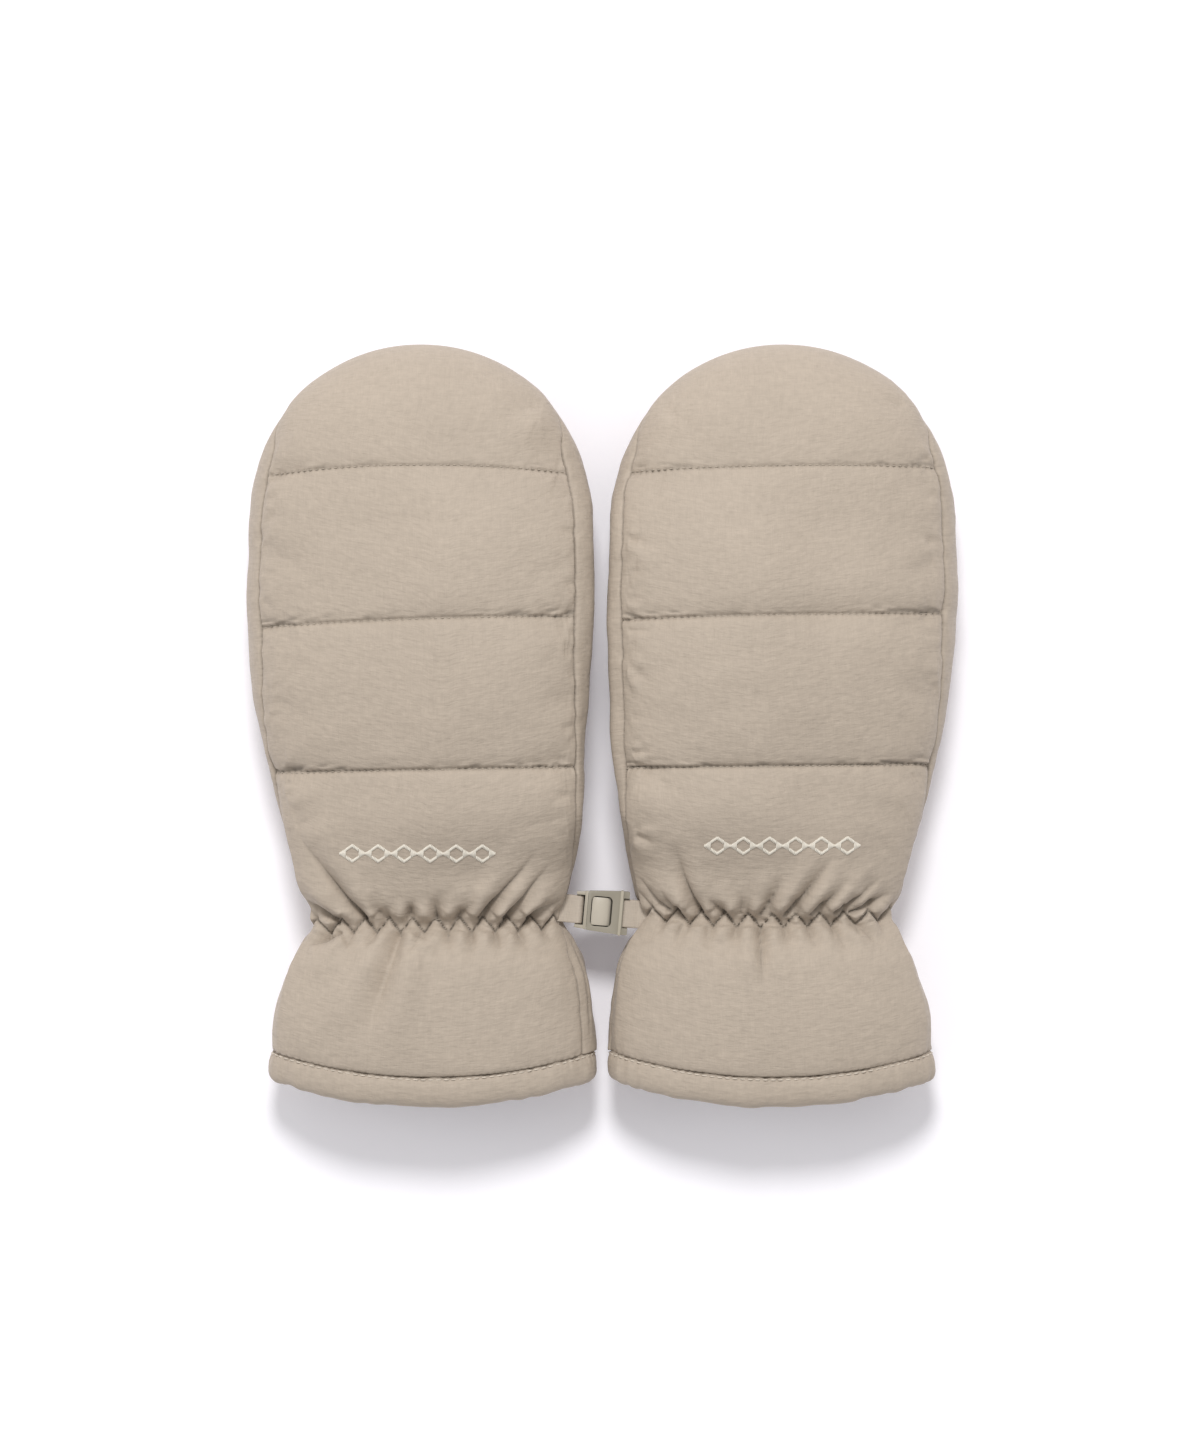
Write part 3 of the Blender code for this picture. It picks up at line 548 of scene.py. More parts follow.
def quilt_relief(x, rows_y, share, seed):
    """The rows of quilting: a soft valley, a sharp line of stitches and short puckers across it."""
    out = 0
    for number, (line, deep) in enumerate(zip((*QUILT_YS, HEM_STITCH_Y), (*QUILT_DEPTHS, 0.40))):
        d = rows_y - line
        tuck = 0.7 + 0.3 * value_noise(x / 0.006, rows_y / 0.012, 0, seed + 1)
        wide = np.where(d > 0, 0.0034, 0.0046)
        out = out - deep * (0.0021 * decay(d, wide) + 0.0009 * decay(d, 0.0007) * tuck)
        out -= 0.0004 * stitch_dimples(x + 0.001 * number) * bell(d, 0.0007)
        pucker = value_noise(x / 0.0034 + 9 * number, d / 0.016, 0, seed + 2 + number)
        ends = 0.45 + 0.75 * smooth((np.abs(share) - 0.55) / 0.35)
        fade = decay(d, 0.0042 + 0.0015 * ends) * smooth(np.abs(d) / 0.0008)
        out += deep * 0.00070 * ends * pucker * fade
        if number < len(QUILT_YS):
            out += deep * 0.0011 * row_wrinkles(x, d, share, number, seed)
    return out


def seam_relief(rows_y, edge, seed):
    """A plain seam: a narrow groove with the small puckers of its stitches."""
    pucker = value_noise(rows_y / 0.0036, edge / 0.010, 0, seed + 9)
    out = -0.0006 * decay(edge, 0.0026) - 0.0008 * decay(edge, 0.0004)
    return out + 0.0005 * pucker * decay(edge, 0.0030) * smooth(edge / 0.0006)


def back_places(side, x, ys, angles):
    """For each point of the back and gussets: its row's y, its distance from the middle, the same as a share
    of the half width, the degrees in from the nearest seam of the back and the metres to that seam."""
    half, middle, inner, outer = (v[:, None] for v in (*station(ys)[:2], *seam_angles(side, ys)))
    across = x - middle
    past_seam = np.minimum(180 - inner - angles, angles - outer)
    share = across / np.maximum(half, 1e-4)
    return ys[:, None] + 0 * x, across, share, past_seam, np.abs(past_seam) * SEAM_SCALE


def back_relief(side, points, ys, angles):
    """How far each point of the back and gussets stands out from the plain skin, in metres."""
    seed = SIDES[side]["seed"]
    x, y = points[..., 0], points[..., 1]
    rows_y, across, share, past_seam, edge = back_places(side, x, ys, angles)
    on_back = smooth(past_seam / 8 + 0.4)
    d_line = np.min([np.abs(rows_y - line) for line in (HEM_STITCH_Y, *QUILT_YS)], axis=0)
    out = on_back * quilt_relief(across, rows_y, share, seed)
    out += 0.0009 * smooth(past_seam / 22) * smooth(d_line / 0.024)
    out += seam_relief(rows_y, edge, seed) * (1 - 0.85 * smooth((rows_y - 0.162) / 0.022))
    inner_bulge = np.interp(rows_y, (0.060, 0.126), SIDES[side]["gusset_bulge"])
    bulge = np.where(angles > 90, inner_bulge, -0.0002) * smooth(-past_seam / 14)
    out += bulge * smooth((rows_y - 0.03) / 0.04) * (1 - smooth((rows_y - 0.13) / 0.04))
    over = on_back * smooth((0.985 - np.abs(share)) / 0.04)
    out += over * wrist_relief(side, x, y)[0]
    for dent in dents(side):
        out += on_back * crease(x, y, *dent)[0]
    out += (1 - over) * side_gathers(y, angles, seed) + gusset_folds(side, rows_y, past_seam, angles)[0]
    round_tip = 1 - 0.7 * smooth((rows_y - 0.150) / 0.030)
    out += 0.0006 * lumps(points, 0.030, seed + 30) * smooth(d_line / 0.012) * round_tip
    out += 0.00028 * lumps(points, 0.010, seed + 31) + 0.00012 * lumps(points, 0.0040, seed + 32)
    from_palm = np.minimum(180 - PALM_SEAM - angles, angles - PALM_SEAM)
    return palm_seam_relief(out, y, rows_y, from_palm, seed + 5) * calm_tip(rows_y)


def palm_seam_relief(relief, y, rows_y, degrees, seed):
    """The relief brought down to the palm seam, where both of its panels take the same height."""
    away = smooth(degrees / 12)
    return away * relief + (1 - away) * waist(y) + seam_relief(rows_y, degrees * SEAM_SCALE, seed)


def gusset_folds(side, rows_y, past_seam, angles):
    """Long folds down the cuff's gusset on the thumb's side: (their height, the painted shade along them)."""
    height, dark = 0, 0
    for past, low, high, depth in SIDES[side]["gusset_folds"]:
        here = (angles > 90) * smooth((rows_y - low) / 0.010) * smooth((high - rows_y) / 0.006)
        across = past_seam + past + 5 * (rows_y - low) / (high - low)
        height = height + depth * here * (0.5 * bell(across, 5) - decay(across, 1.3))
        dark = dark + here * depth / 0.0016 * bell(across, 1.2)
    return height, dark


def side_gathers(y, angles, seed):
    """The elastic's soft folds round the sides and the palm."""
    return 0.0013 * value_noise(y / 0.011, angles / 9, 0, seed + 20) * decay(y, 0.016) + waist(y)


def waist(y):
    return -0.0026 * bell(y, 0.0060)


def calm_tip(rows_y):
    """1 over the hand, falling to 0 at the very end of the fingertips."""
    return 1 - smooth((rows_y - (FOCUS_Y + 0.55 * TIP_LENGTH)) / (0.44 * TIP_LENGTH))


def painted_groove_shade(side, base, ys, angles):
    """Painted shade for the cloth's colour: 0 on open cloth, 1 at the bottom of a seam or between the
    stitches of a row. The wrinkles above the rows, the sharp folds at the wrist, the zigzag's line and the
    gusset's folds get painted shade too.
    """
    x, y = base[..., 0], base[..., 1]
    rows_y, across, share, past_seam, edge = back_places(side, x, ys, angles)
    seam = bell(edge, 0.00045) * (0.55 + 0.45 * stitch_dimples(rows_y))
    rows = 0
    for number, (line, deep) in enumerate(zip(QUILT_YS, QUILT_DEPTHS)):
        d = rows_y - line
        dashes = 0.30 + 0.70 * stitch_dimples(across + 0.001 * number)
        wrinkles = np.clip(-2.2 * row_wrinkles(across, d, share, number, SIDES[side]["seed"]), 0, 0.65)
        rows += (0.12 + 0.50 * deep) * dashes * bell(d, 0.00055) + deep * wrinkles
    folds = np.clip(wrist_relief(side, x, y)[1] / 0.004, 0, 1)
    zigzag = bell(y - wrist_line(side, x)[1], 0.0005) * (np.abs(across) < 0.97 * WRIST_HALF)
    on_back = (past_seam > 0) * np.max([rows, 0.5 * folds, 0.95 * zigzag], axis=0)
    return np.max([0.7 * seam, on_back, 0.6 * gusset_folds(side, rows_y, past_seam, angles)[1]], axis=0)


# ---- panels
def finish_panel(name, side, points, faces, uvs, material, groove=None):
    """Makes the panel in the scene. The mirror turns the left mitten's faces outward, and the right one's
    are turned here."""
    faces = turned(faces) if SIDES[side]["way"] > 0 else faces
    made = mesh_object(f"{side}_{name}", to_scene(np.reshape(points, (-1, 3)), side), faces, uvs, material)
    # groove, when given, is painted shade in seams, stitch holes and creases, which the cloth's colour reads.
    if groove is not None:
        set_values(made.data, "groove", groove)
    return made


def cloth_uvs(base):
    """Metres along the cloth: across the mitten from its middle column, and up it from its first row. Near
    the fingertips, where the columns meet, it changes to plain distances from the last point."""
    centre = base.shape[1] // 2
    u = running_length(base, 1)
    u -= u[:, centre][:, None]
    v = running_length(base, 0)
    offset = base - TIP
    facing = np.sign(offset[-1, centre, 2])
    up = facing * np.sign(offset[..., 2]) * np.hypot(offset[..., 1], offset[..., 2])
    near = smooth((base[..., 1] - FOCUS_Y - 0.45 * TIP_LENGTH) / (0.45 * TIP_LENGTH))
    u += near * (offset[..., 0] - u)
    v += near * (v[-1, centre] - up - v)
    return pairs(u, v)


def raised_panel(ys, angles, base, relief):
    """A panel's points, faces and places on the cloth: raised by its relief, with a first row that turns in
    under the hem and a last point at the fingertips."""
    points = base + grid_normals(base) * relief[..., None]
    points[..., 2] = np.maximum(points[..., 2], 0.0)
    edge = skin(ys[:1, None], angles[:1], TURN_IN)
    points, base = np.concatenate((edge, points)), np.concatenate((edge, base))
    rows, columns = points.shape[:2]
    points, faces = close_end(points.reshape(-1, 3), grid_faces(rows, columns), rows - 1, columns, TIP)
    uvs = cloth_uvs(base)
    return points, faces, np.vstack((uvs, uvs[-columns:].mean(axis=0)))


def make_back(side):
    """The back panel and the gussets of one mitten."""
    coarser = 1.0
    ys = shell_rows(FINE_STEP * coarser, COARSE_STEP * coarser)
    angles = over_back(side, ys, int(BACK_COLUMNS / coarser), int(GUSSET_COLUMNS / coarser))
    base = skin(ys[:, None], angles, rows=SIDES[side]["rows"])
    panel = raised_panel(ys, angles, base, back_relief(side, base, ys, angles))
    # Painted shade in the seams, between the stitches and in the creases, for the cloth's colour.
    groove = painted_groove_shade(side, base, ys, angles)
    groove = np.append(np.vstack((groove[:1], groove)), 0)
    return finish_panel("back", side, *panel, CLOTH, groove)


def open_hole(points, faces, uvs, through=True):
    """Cuts the thumb's oval opening through the marked points: whole faces go, and the points left inside it
    move out to its edge."""
    reach = np.hypot((points[:, 0] - THUMB_X) / HOLE_HALF[0], (points[:, 1] - HOLE_Y) / HOLE_HALF[1])
    reach = np.where(through, reach, 2.0)
    kept = [f for f in faces if max(reach[list(f)]) > 1.0]
    used = np.unique(np.concatenate([np.array(f) for f in kept]))
    inside = used[reach[used] < 1.0]
    centre = np.array((THUMB_X, HOLE_Y))
    points[inside, :2] = centre + (points[inside, :2] - centre) / reach[inside, None]
    index = np.full(len(points), -1)
    index[used] = np.arange(len(used))
    return points[used], [tuple(index[list(f)]) for f in kept], uvs[used]


def make_palm(side):
    """The palm panel, raised over the folded thumb, with the thumb's opening."""
    seed = SIDES[side]["seed"]
    ys = shell_rows(0.0013, 0.0019)
    angles = np.linspace(PALM_SEAM, -180 - PALM_SEAM, 97)[None, :] + 0 * ys[:, None]
    base = skin(ys[:, None], angles)
    from_seam = np.minimum(PALM_SEAM - angles, angles + 180 + PALM_SEAM)
    relief = side_gathers(base[..., 1], angles, seed + 100) + 0.0009 * lumps(base, 0.026, seed + 100)
    relief += 0.0004 * lumps(base, 0.009, seed + 101)
    relief = palm_seam_relief(relief, base[..., 1], ys[:, None] + 0 * angles, from_seam, seed + 5)
    panel = raised_panel(ys, angles, base, relief * calm_tip(ys[:, None]))
    return finish_panel("palm", side, *open_hole(*panel), CLOTH)


def make_hem(side):
    """The band round the cuff's mouth: from the topstitching over the rolled edge to the lining."""
    seed = SIDES[side]["seed"] + 200
    profile = (
        (0.0128, 0.0046), (0.0118, 0.0030), (0.0111, 0.0019), (0.0105, 0.0012), (0.0098, 0.0008),
        (0.0086, 0.0003), (0.0070, 0.0000), (0.0050, -0.0001), (0.0034, 0.0001), (0.0021, 0.0005),
        (0.0011, 0.0011), (0.0004, 0.0020), (0.0000, 0.0031), (0.0003, 0.0043), (0.0012, 0.0054),
        (0.0028, 0.0062), (0.0050, 0.0067), (0.0080, 0.0069), (0.0118, LINING_DEPTH + 0.0001),
        (0.0135, LINING_DEPTH + 0.0008),
    )
    angles = np.linspace(0, 360, 421)[:-1]
    grid = np.array([skin(HEM_Y + up, angles, depth) for up, depth in profile])
    cos, sin = np.cos(np.radians(angles)), np.sin(np.radians(angles))
    for k, (up, _) in enumerate(profile):
        free = smooth((0.0112 - up) / 0.004)
        wave = value_noise(40 + 9 * cos, 40 + 9 * sin, k / 14, seed)
        fine = value_noise(40 + 42 * cos, 40 + 42 * sin, k / 9, seed + 1)
        wide = np.clip(1 - (abs(up - 0.0106) / 0.004), 0, 1)
        grid[k] += grid_normals(grid, ring=True)[k] * (0.0005 * wave * free + 0.0005 * fine * wide)[:, None]
    grid[..., 2] = np.maximum(grid[..., 2], 0.0)
    uvs = pairs(running_length(grid, 1), running_length(grid, 0))
    # Painted shade along the seam at the band's top edge, for the cloth's colour.
    groove = np.zeros(grid.shape[:2])
    groove[:3] = 0.7
    groove[3] = 0.35
    return finish_panel("hem", side, grid, grid_faces(*groove.shape, ring=True), uvs, CLOTH, groove)


def make_lining(side):
    """The fleece lining, from the hem to the fingertips, open over the thumb."""
    seed = SIDES[side]["seed"] + 300
    ys = shell_rows(0.0026, 0.0026)
    angles = np.linspace(0, 360, 181)[:-1][None, :] + 0 * ys[:, None]
    lining_tip = TIP_Y - LINING_DEPTH - 0.0005
    inner_ys = np.interp(ys, (HEM_STITCH_Y, FOCUS_Y, TIP_Y), (HEM_STITCH_Y, FOCUS_Y, lining_tip))
    base = skin(inner_ys[:, None], angles, LINING_DEPTH)
    relief = 0.0005 * lumps(base, 0.005, seed) + 0.0004 * lumps(base, 0.0022, seed + 1)
    relief *= smooth((ys[:, None] - HEM_STITCH_Y) / 0.004)
    points = base + grid_normals(base, ring=True) * np.abs(relief)[..., None]
    rows, columns = angles.shape
    faces, pole = grid_faces(rows, columns, ring=True), points[-1].mean(axis=0)
    points, faces = close_end(points.reshape(-1, 3), faces, rows - 1, columns, pole, ring=True)
    uvs = np.vstack((cloth_uvs(base), (0, FOCUS_Y)))
    near_palm = points[:, 2] < 0.5 * (palm_lift(points[:, 0], points[:, 1]) + 0.045)
    return finish_panel("lining", side, *open_hole(points, faces, uvs, near_palm), FLEECE)


# ---- thumb
def thumb_skin(y, turn, depth):
    """A point of the thumb: turn runs round it from its outer side over its top."""
    share = np.minimum(1, np.abs(y - THUMB_MIDDLE_Y) / (THUMB_HALF_LENGTH - depth))
    narrow = rounded(share, OUTLINE_POWER)
    x = THUMB_X + (THUMB_HALF_WIDTH - depth) * narrow * signed(np.cos(turn), 0.75)
    z = THUMB_HEIGHT / 2 + (THUMB_HEIGHT / 2 - depth) * narrow**0.8 * signed(np.sin(turn), 0.75)
    return np.stack(np.broadcast_arrays(x, y, z), axis=-1)


def thumb_layer(name, side, depth, relief_size, material):
    """One closed layer of the thumb, with the oval opening in its top."""
    seed = SIDES[side]["seed"] + 400
    rise = signed(np.sin(np.radians(np.linspace(-88.5, 88.5, 70))), 2 / OUTLINE_POWER) * 0.9999
    ys = (THUMB_MIDDLE_Y + (THUMB_HALF_LENGTH - depth) * rise)[:, None]
    turn = np.linspace(0, 2 * math.pi, 81)[:-1]
    base = thumb_skin(ys, turn, depth)
    folds = value_noise(ys / 0.0048, turn / 1.4, 0, seed) * bell(ys - THUMB_HINGE_Y, 0.010)
    relief = 1.2 * folds + lumps(base, 0.014, seed + 1) + 0.4 * lumps(base, 0.005, seed + 2)
    relief = relief_size * relief - 0.0007 * decay(np.sin(turn), 0.045)
    relief *= smooth((1 - np.abs(ys - ys.mean()) / (ys[-1] - ys.mean())) / 0.06)
    grid = base - grid_normals(base, ring=True) * relief[..., None]
    grid[..., 2] = np.clip(grid[..., 2], depth, THUMB_HEIGHT + 0.0002 - depth)
    rows, columns = relief.shape
    points, faces = grid.reshape(-1, 3), grid_faces(rows, columns, ring=True)
    for row in (0, rows - 1):
        pole = grid[row].mean(axis=0)
        points, faces = close_end(points, faces, row, columns, pole, ring=True, inward=row == 0)
    uvs = np.vstack((pairs(running_length(base, 1), base[..., 1]), (0, ys[0, 0]), (0, ys[-1, 0])))
    points, faces, uvs = open_hole(points, faces, uvs, points[:, 2] > THUMB_HEIGHT / 2)
    return finish_panel(name, side, points, turned(faces), uvs, material)


def make_neck(side):
    """The short tube of cloth that joins the thumb's opening to the palm's."""
    turn = np.linspace(0, 2 * math.pi, 73)[:-1]
    rings = ((0.0150, 0.985), (0.0200, 1.0), (0.0206, 1.03), (0.0214, 1.045), (0.0222, 1.03), (0.0232, 1.0),
             (0.0290, 0.985))
    height, spread = (v[:, None] for v in np.transpose(rings))
    x = THUMB_X + HOLE_HALF[0] * spread * np.cos(turn)
    y = HOLE_Y + HOLE_HALF[1] * spread * np.sin(turn)
    grid = np.stack(np.broadcast_arrays(x, y, height), axis=-1)
    uvs = pairs(grid[..., 0], grid[..., 2])
    return finish_panel("thumb_neck", side, grid, grid_faces(*x.shape, ring=True), uvs, CLOTH)


# ---- stitches and embroidery
def thread_mesh(points, faces, start, end, normal, radius, lift):
    """Adds one stitch from start to end, arched over the cloth, with both ends going into it."""
    sides = 6
    along = unit(end - start)
    across = unit(np.cross(along, normal))
    up = np.cross(across, along)
    first = len(points)
    stations = ((0.0, 0.55, -0.9), (0.12, 0.9, 0.2), (0.5, 1.0, lift), (0.88, 0.9, 0.2), (1.0, 0.55, -0.9))
    for share, thick, height in stations:
        centre = start + (end - start) * share + up * radius * height
        for k in range(sides):
            turn = 2 * math.pi * k / sides
            points.append(centre + radius * thick * (across * math.cos(turn) + up * math.sin(turn)))
    faces += [tuple(first + i for i in face) for face in tube_faces(len(stations), sides)]


def at_lengths(path, lengths, wanted):
    """Points, or normals, at the wanted lengths along a path."""
    return np.stack([np.interp(wanted, lengths, column) for column in path.T], axis=-1)


def along_path(path, normals, pitch, gap):
    """Stitches of the given pitch along a path: (start, end, normal) for each."""
    lengths = running_length(path, 0)
    starts = pitch * np.arange(int(lengths[-1] / pitch))
    ends = [at_lengths(path, lengths, starts + shift) for shift in (gap / 2, pitch - gap / 2)]
    return list(zip(*ends, at_lengths(normals, lengths, starts + pitch / 2)))


def drop_on(tree, x, y):
    """Where a vertical line through x, y meets the top of the cloth, and the normal there."""
    place, normal, *_ = tree.ray_cast(Vector((x, y, 0.2)), Vector((0, 0, -1)))
    if place is None:
        return None
    return np.array(place), np.array(normal) * (1 if normal.z > 0 else -1)


def dropped_stitch(tree, spots):
    """A list with the stitch between two places of the scene, or an empty one if either misses the cloth."""
    hits = [drop_on(tree, *spot) for spot in spots]
    if None in hits:
        return []
    return [(hits[0][0], hits[1][0], hits[0][1] + hits[1][1])]


def row_stitches(tree, side, line):
    """Stitches of one row of quilting, dropped onto the back."""
    inner, outer = seam_angles(side, line)
    angles = np.linspace(180 - float(inner) - 3, float(outer) + 3, 400)
    base = to_scene(skin(line, angles, rows=SIDES[side]["rows"]), side)
    hits = [hit for hit in (drop_on(tree, x, y) for x, y, _ in base) if hit is not None]
    path, normals = (np.array(values) for values in zip(*hits))
    return along_path(path, normals, QUILT_PITCH, 0.0010)


def zigzag_stitches(tree, side):
    """Stitches along the legs of the zigzag, dropped onto the back."""
    peak, step = SIDES[side]["zigzag"], ZIGZAG_PITCH / 2
    reach = ZIGZAG_REACH * WRIST_HALF
    first = math.ceil((WRIST_MIDDLE - reach - peak) / step)
    last = math.floor((WRIST_MIDDLE + reach - peak) / step)
    xs = peak + step * np.arange(first, last + 1)
    corners = to_scene(pairs(xs, wrist_line(side, xs)[1]), side)
    out = []
    for a, b in zip(corners, corners[1:]):
        for k in range(ZIGZAG_STITCHES):
            shares = ((k + 0.10) / ZIGZAG_STITCHES, (k + 0.90) / ZIGZAG_STITCHES)
            out += dropped_stitch(tree, [a + (b - a) * share for share in shares])
    return out


def hem_stitches(side):
    """Topstitching all round the cuff, along the hem band's upper edge."""
    angles = np.linspace(0, 360, 1200)
    path, inside = (to_scene(skin(HEM_Y + HEM_TOPSTITCH, angles, depth), side) for depth in (0.0008, 0.0040))
    normals = unit(path - inside)
    path[:, 2] = np.maximum(path[:, 2], 0.00005 + THREAD_RADIUS)
    return along_path(path, normals, HEM_PITCH, 0.0007)


def stitched(name, side, stitches, radius, material, lift=0.8):
    points, faces = [], []
    for stitch in stitches:
        thread_mesh(points, faces, *stitch, radius, lift)
    return mesh_object(f"{side}_{name}", points, faces, None, material)


def motif_threads(tree, side):
    """A chain of satin-stitched diamonds: threads side by side, long in a diamond's middle."""
    middle, height = SIDES[side]["motif"]
    least, slant = 0.0004, 0.00012
    out = []
    for k in range(int(round(DIAMONDS * DIAMOND_LENGTH / SATIN_PITCH))):
        x = (k + 0.5) * SATIN_PITCH
        from_peak = abs((x / DIAMOND_LENGTH) % 1 - 0.5) * 2
        half = least + (DIAMOND_HALF_HEIGHT - least) * (1 - from_peak)
        open_half = max(0.0, half - SATIN_BAND)
        spans = [(-half, half)] if open_half < 0.0006 else [(-half, -open_half), (open_half, half)]
        x, y = to_scene((middle - DIAMONDS * DIAMOND_LENGTH / 2 + x, height), side)
        for low, high in spans:
            out += dropped_stitch(tree, ((x - slant, y + low), (x + slant, y + high)))
    return out


# ---- strap and buckle
BUCKLE_Y = 0.0025
BUCKLE_Z = 0.0215
BUCKLE_YAW = math.radians(-5.0)
BUCKLE_FRAME = Matrix.Translation((0, BUCKLE_Y - ORIGIN_Y, BUCKLE_Z)) @ Matrix.Rotation(BUCKLE_YAW, 4, "Z")
BUCKLE_HALF_WIDTH = 0.00775
BUCKLE_HALF_HEIGHT = 0.0032
BUCKLE_END = 0.0095
BAR_X = 0.0086
RAIL_INNER = 0.00535
MOUTH_X = -0.0052
CHANNEL_END = 0.0055
END_WALL = 0.0064
CHANNEL_HALF_WIDTH = 0.00645
WEBBING_HALF_WIDTH = 0.0050
WEBBING_THICK = 0.0009


def make_strap(side):
    """Webbing folded round the buckle's bar, with both tails sewn into the side seam."""
    way = SIDES[side]["way"]
    half, tail_z, loop = WEBBING_THICK / 2, WEBBING_THICK / 2 + 0.00012, 0.00145
    tail = [(0.0168, tail_z), (0.0140, tail_z), (0.0125, tail_z), (0.0105, 0.0011)]
    turns = [math.pi * (0.5 + k / 16) for k in range(17)]
    bend = [(BAR_X + loop * math.cos(turn), loop * math.sin(turn)) for turn in turns]
    path = np.array(tail + bend + [(x, -z) for x, z in reversed(tail)])
    lengths = running_length(path, 0)
    even = np.linspace(0, lengths[-1], 90)
    path = at_lengths(path, lengths, even)
    along = unit(np.gradient(path, axis=0))
    ribs = np.linspace(-0.9, 0.9, 13)
    edge = [(1, -0.97), *((1, v) for v in ribs), (1, 0.97), (0.5, 1.0), (-0.5, 1.0),
            (-1, 0.97), *((-1, v) for v in -ribs), (-1, -0.97), (-0.5, -1.0), (0.5, -1.0)]
    grid, uvs = [], []
    for (x, z), (dx, dz), length in zip(path, along, even):
        for offset, v in edge:
            out = offset * half * (0.92 if abs(v) > 0.95 else 1.0)
            point = Vector((way * (x - dz * out), WEBBING_HALF_WIDTH * v, z + dx * out))
            grid.append(tuple(BUCKLE_FRAME @ point))
            uvs.append((length, WEBBING_HALF_WIDTH * v))
    faces = tube_faces(len(path), len(edge))
    return mesh_object(f"{side}_webbing", grid, turned(faces) if way < 0 else faces, uvs, WEBBING)


def from_bmesh(name, shape):
    mesh = bpy.data.meshes.new(name)
    shape.to_mesh(mesh)
    shape.free()
    return add_object(name, mesh)


def block(x, y, z, round_plan=0.0):
    """A box between pairs of limits, in the buckle's frame. round_plan rounds its four upright edges."""
    cube = bmesh.new()
    bmesh.ops.create_cube(cube, size=1)
    bmesh.ops.scale(cube, verts=cube.verts, vec=[high - low for low, high in (x, y, z)])
    bmesh.ops.translate(cube, verts=cube.verts, vec=[(low + high) / 2 for low, high in (x, y, z)])
    if round_plan:
        upright = [e for e in cube.edges if abs(e.verts[0].co.z - e.verts[1].co.z) > 1e-6]
        bmesh.ops.bevel(cube, geom=upright, offset=round_plan, segments=5, affect="EDGES", profile=0.5)
    return from_bmesh("block", cube)


def bar(x):
    """A round bar across the buckle at x, for the webbing to fold over."""
    rod = bmesh.new()
    radius, length = 0.0007, 2 * RAIL_INNER + 0.001
    bmesh.ops.create_cone(rod, segments=20, radius1=radius, radius2=radius, depth=length, cap_ends=True)
    bmesh.ops.rotate(rod, verts=rod.verts, matrix=Matrix.Rotation(math.pi / 2, 3, "X"))
    bmesh.ops.translate(rod, verts=rod.verts, vec=(x, 0, 0))
    return from_bmesh("bar", rod)


def set_painted_light(mesh, painted_light):
    """Gives each vertex its painted light and shade: below 0 where the plastic is painted darker as shade,
    above 0 where it is painted lighter as a highlight.
    """
    set_values(mesh, "painted_light", [painted_light(v.co) for v in mesh.vertices])


def in_channel(point):
    """True for the inner faces of the buckle, between its two side walls."""
    return abs(point.y) < CHANNEL_HALF_WIDTH + 0.00015


# Painted highlight on the ridge's top face, and painted shade on the faces inside the channel.
def socket_highlight_and_shade(point):
    if point.z > BUCKLE_HALF_HEIGHT:
        return 0.45
    inside = in_channel(point) and MOUTH_X - 0.0001 < point.x < CHANNEL_END + 0.0001
    return -0.85 if inside and -0.0030 < point.z < 0.00255 else 0.0


# Painted shade on the plug's low faces between its walls, the plates under its slot among them.
def plug_painted_shade(point):
    return -0.85 if in_channel(point) and point.z < -0.0012 else 0.0


# Painted shade on the button's lower faces, down in the socket's window.
def button_painted_shade(point):
    return -0.80 if point.z < 0.0012 else 0.0


def moulded(name, joined, cut_away, edge, material, painted_light):
    """A moulded piece: blocks joined, others cut away, and every sharp edge rounded, with painted light and
    shade on its vertices.
    """
    body = joined[0]
    for others, operation in ((joined[1:], "UNION"), (cut_away, "DIFFERENCE")):
        for other in others:
            modifier = body.modifiers.new(operation, "BOOLEAN")
            modifier.operation = operation
            modifier.object = other
            modifier.solver = "EXACT"
    bevel = body.modifiers.new("edges", "BEVEL")
    bevel.width = edge
    bevel.segments = 3
    bevel.limit_method = "ANGLE"
    bevel.angle_limit = math.radians(35)
    bevel.use_clamp_overlap = True
    bpy.context.view_layer.update()
    mesh = bpy.data.meshes.new_from_object(body.evaluated_get(bpy.context.evaluated_depsgraph_get()))
    for helper in (*joined, *cut_away):
        bpy.data.objects.remove(helper)
    for vertex in mesh.vertices:
        vertex.co = tapered(vertex.co)
    set_painted_light(mesh, painted_light)
    mesh.transform(BUCKLE_FRAME)
    mesh.name = name
    mesh.shade_smooth()
    mesh.set_sharp_from_angle(angle=math.radians(50))
    mesh.materials.clear()
    mesh.materials.append(material)
    return add_object(name, mesh)


def tapered(point):
    """Draws the outer faces in towards the plug's end."""
    keep = 0.006
    if abs(point.y) <= keep:
        return point
    share = float(smooth((point.x + 0.0105) / 0.0125))
    out = keep + (abs(point.y) - keep) * (0.25 + 0.75 * share)
    return Vector((point.x, math.copysign(out, point.y), point.z))


def make_socket():
    width, height = BUCKLE_HALF_WIDTH, BUCKLE_HALF_HEIGHT
    over = 0.002
    ridge_x = (0.0062, 0.0072)
    joined = [
        block((MOUTH_X, BUCKLE_END), (-width, width), (-height, height - 0.0003), 0.0005),
        block(ridge_x, (-width - 0.0003, width + 0.0003), (-height + 0.0004, height + 0.0006), 0.0004),
        bar(BAR_X),
    ]
    cut_away = [
        block((MOUTH_X - over, CHANNEL_END), (-CHANNEL_HALF_WIDTH, CHANNEL_HALF_WIDTH), (-0.0024, 0.0020)),
        block((-0.0040, 0.0035), (-RAIL_INNER, RAIL_INNER), (0, height + over), 0.0016),
    ]
    for way in (-1, 1):
        z = sorted((way * 0.0012, way * (height + over)))
        cut_away.append(block((END_WALL + 0.0011, BUCKLE_END + over), (-RAIL_INNER, RAIL_INNER), z))
    return moulded("socket", joined, cut_away, 0.00034, PLASTIC, socket_highlight_and_shade)


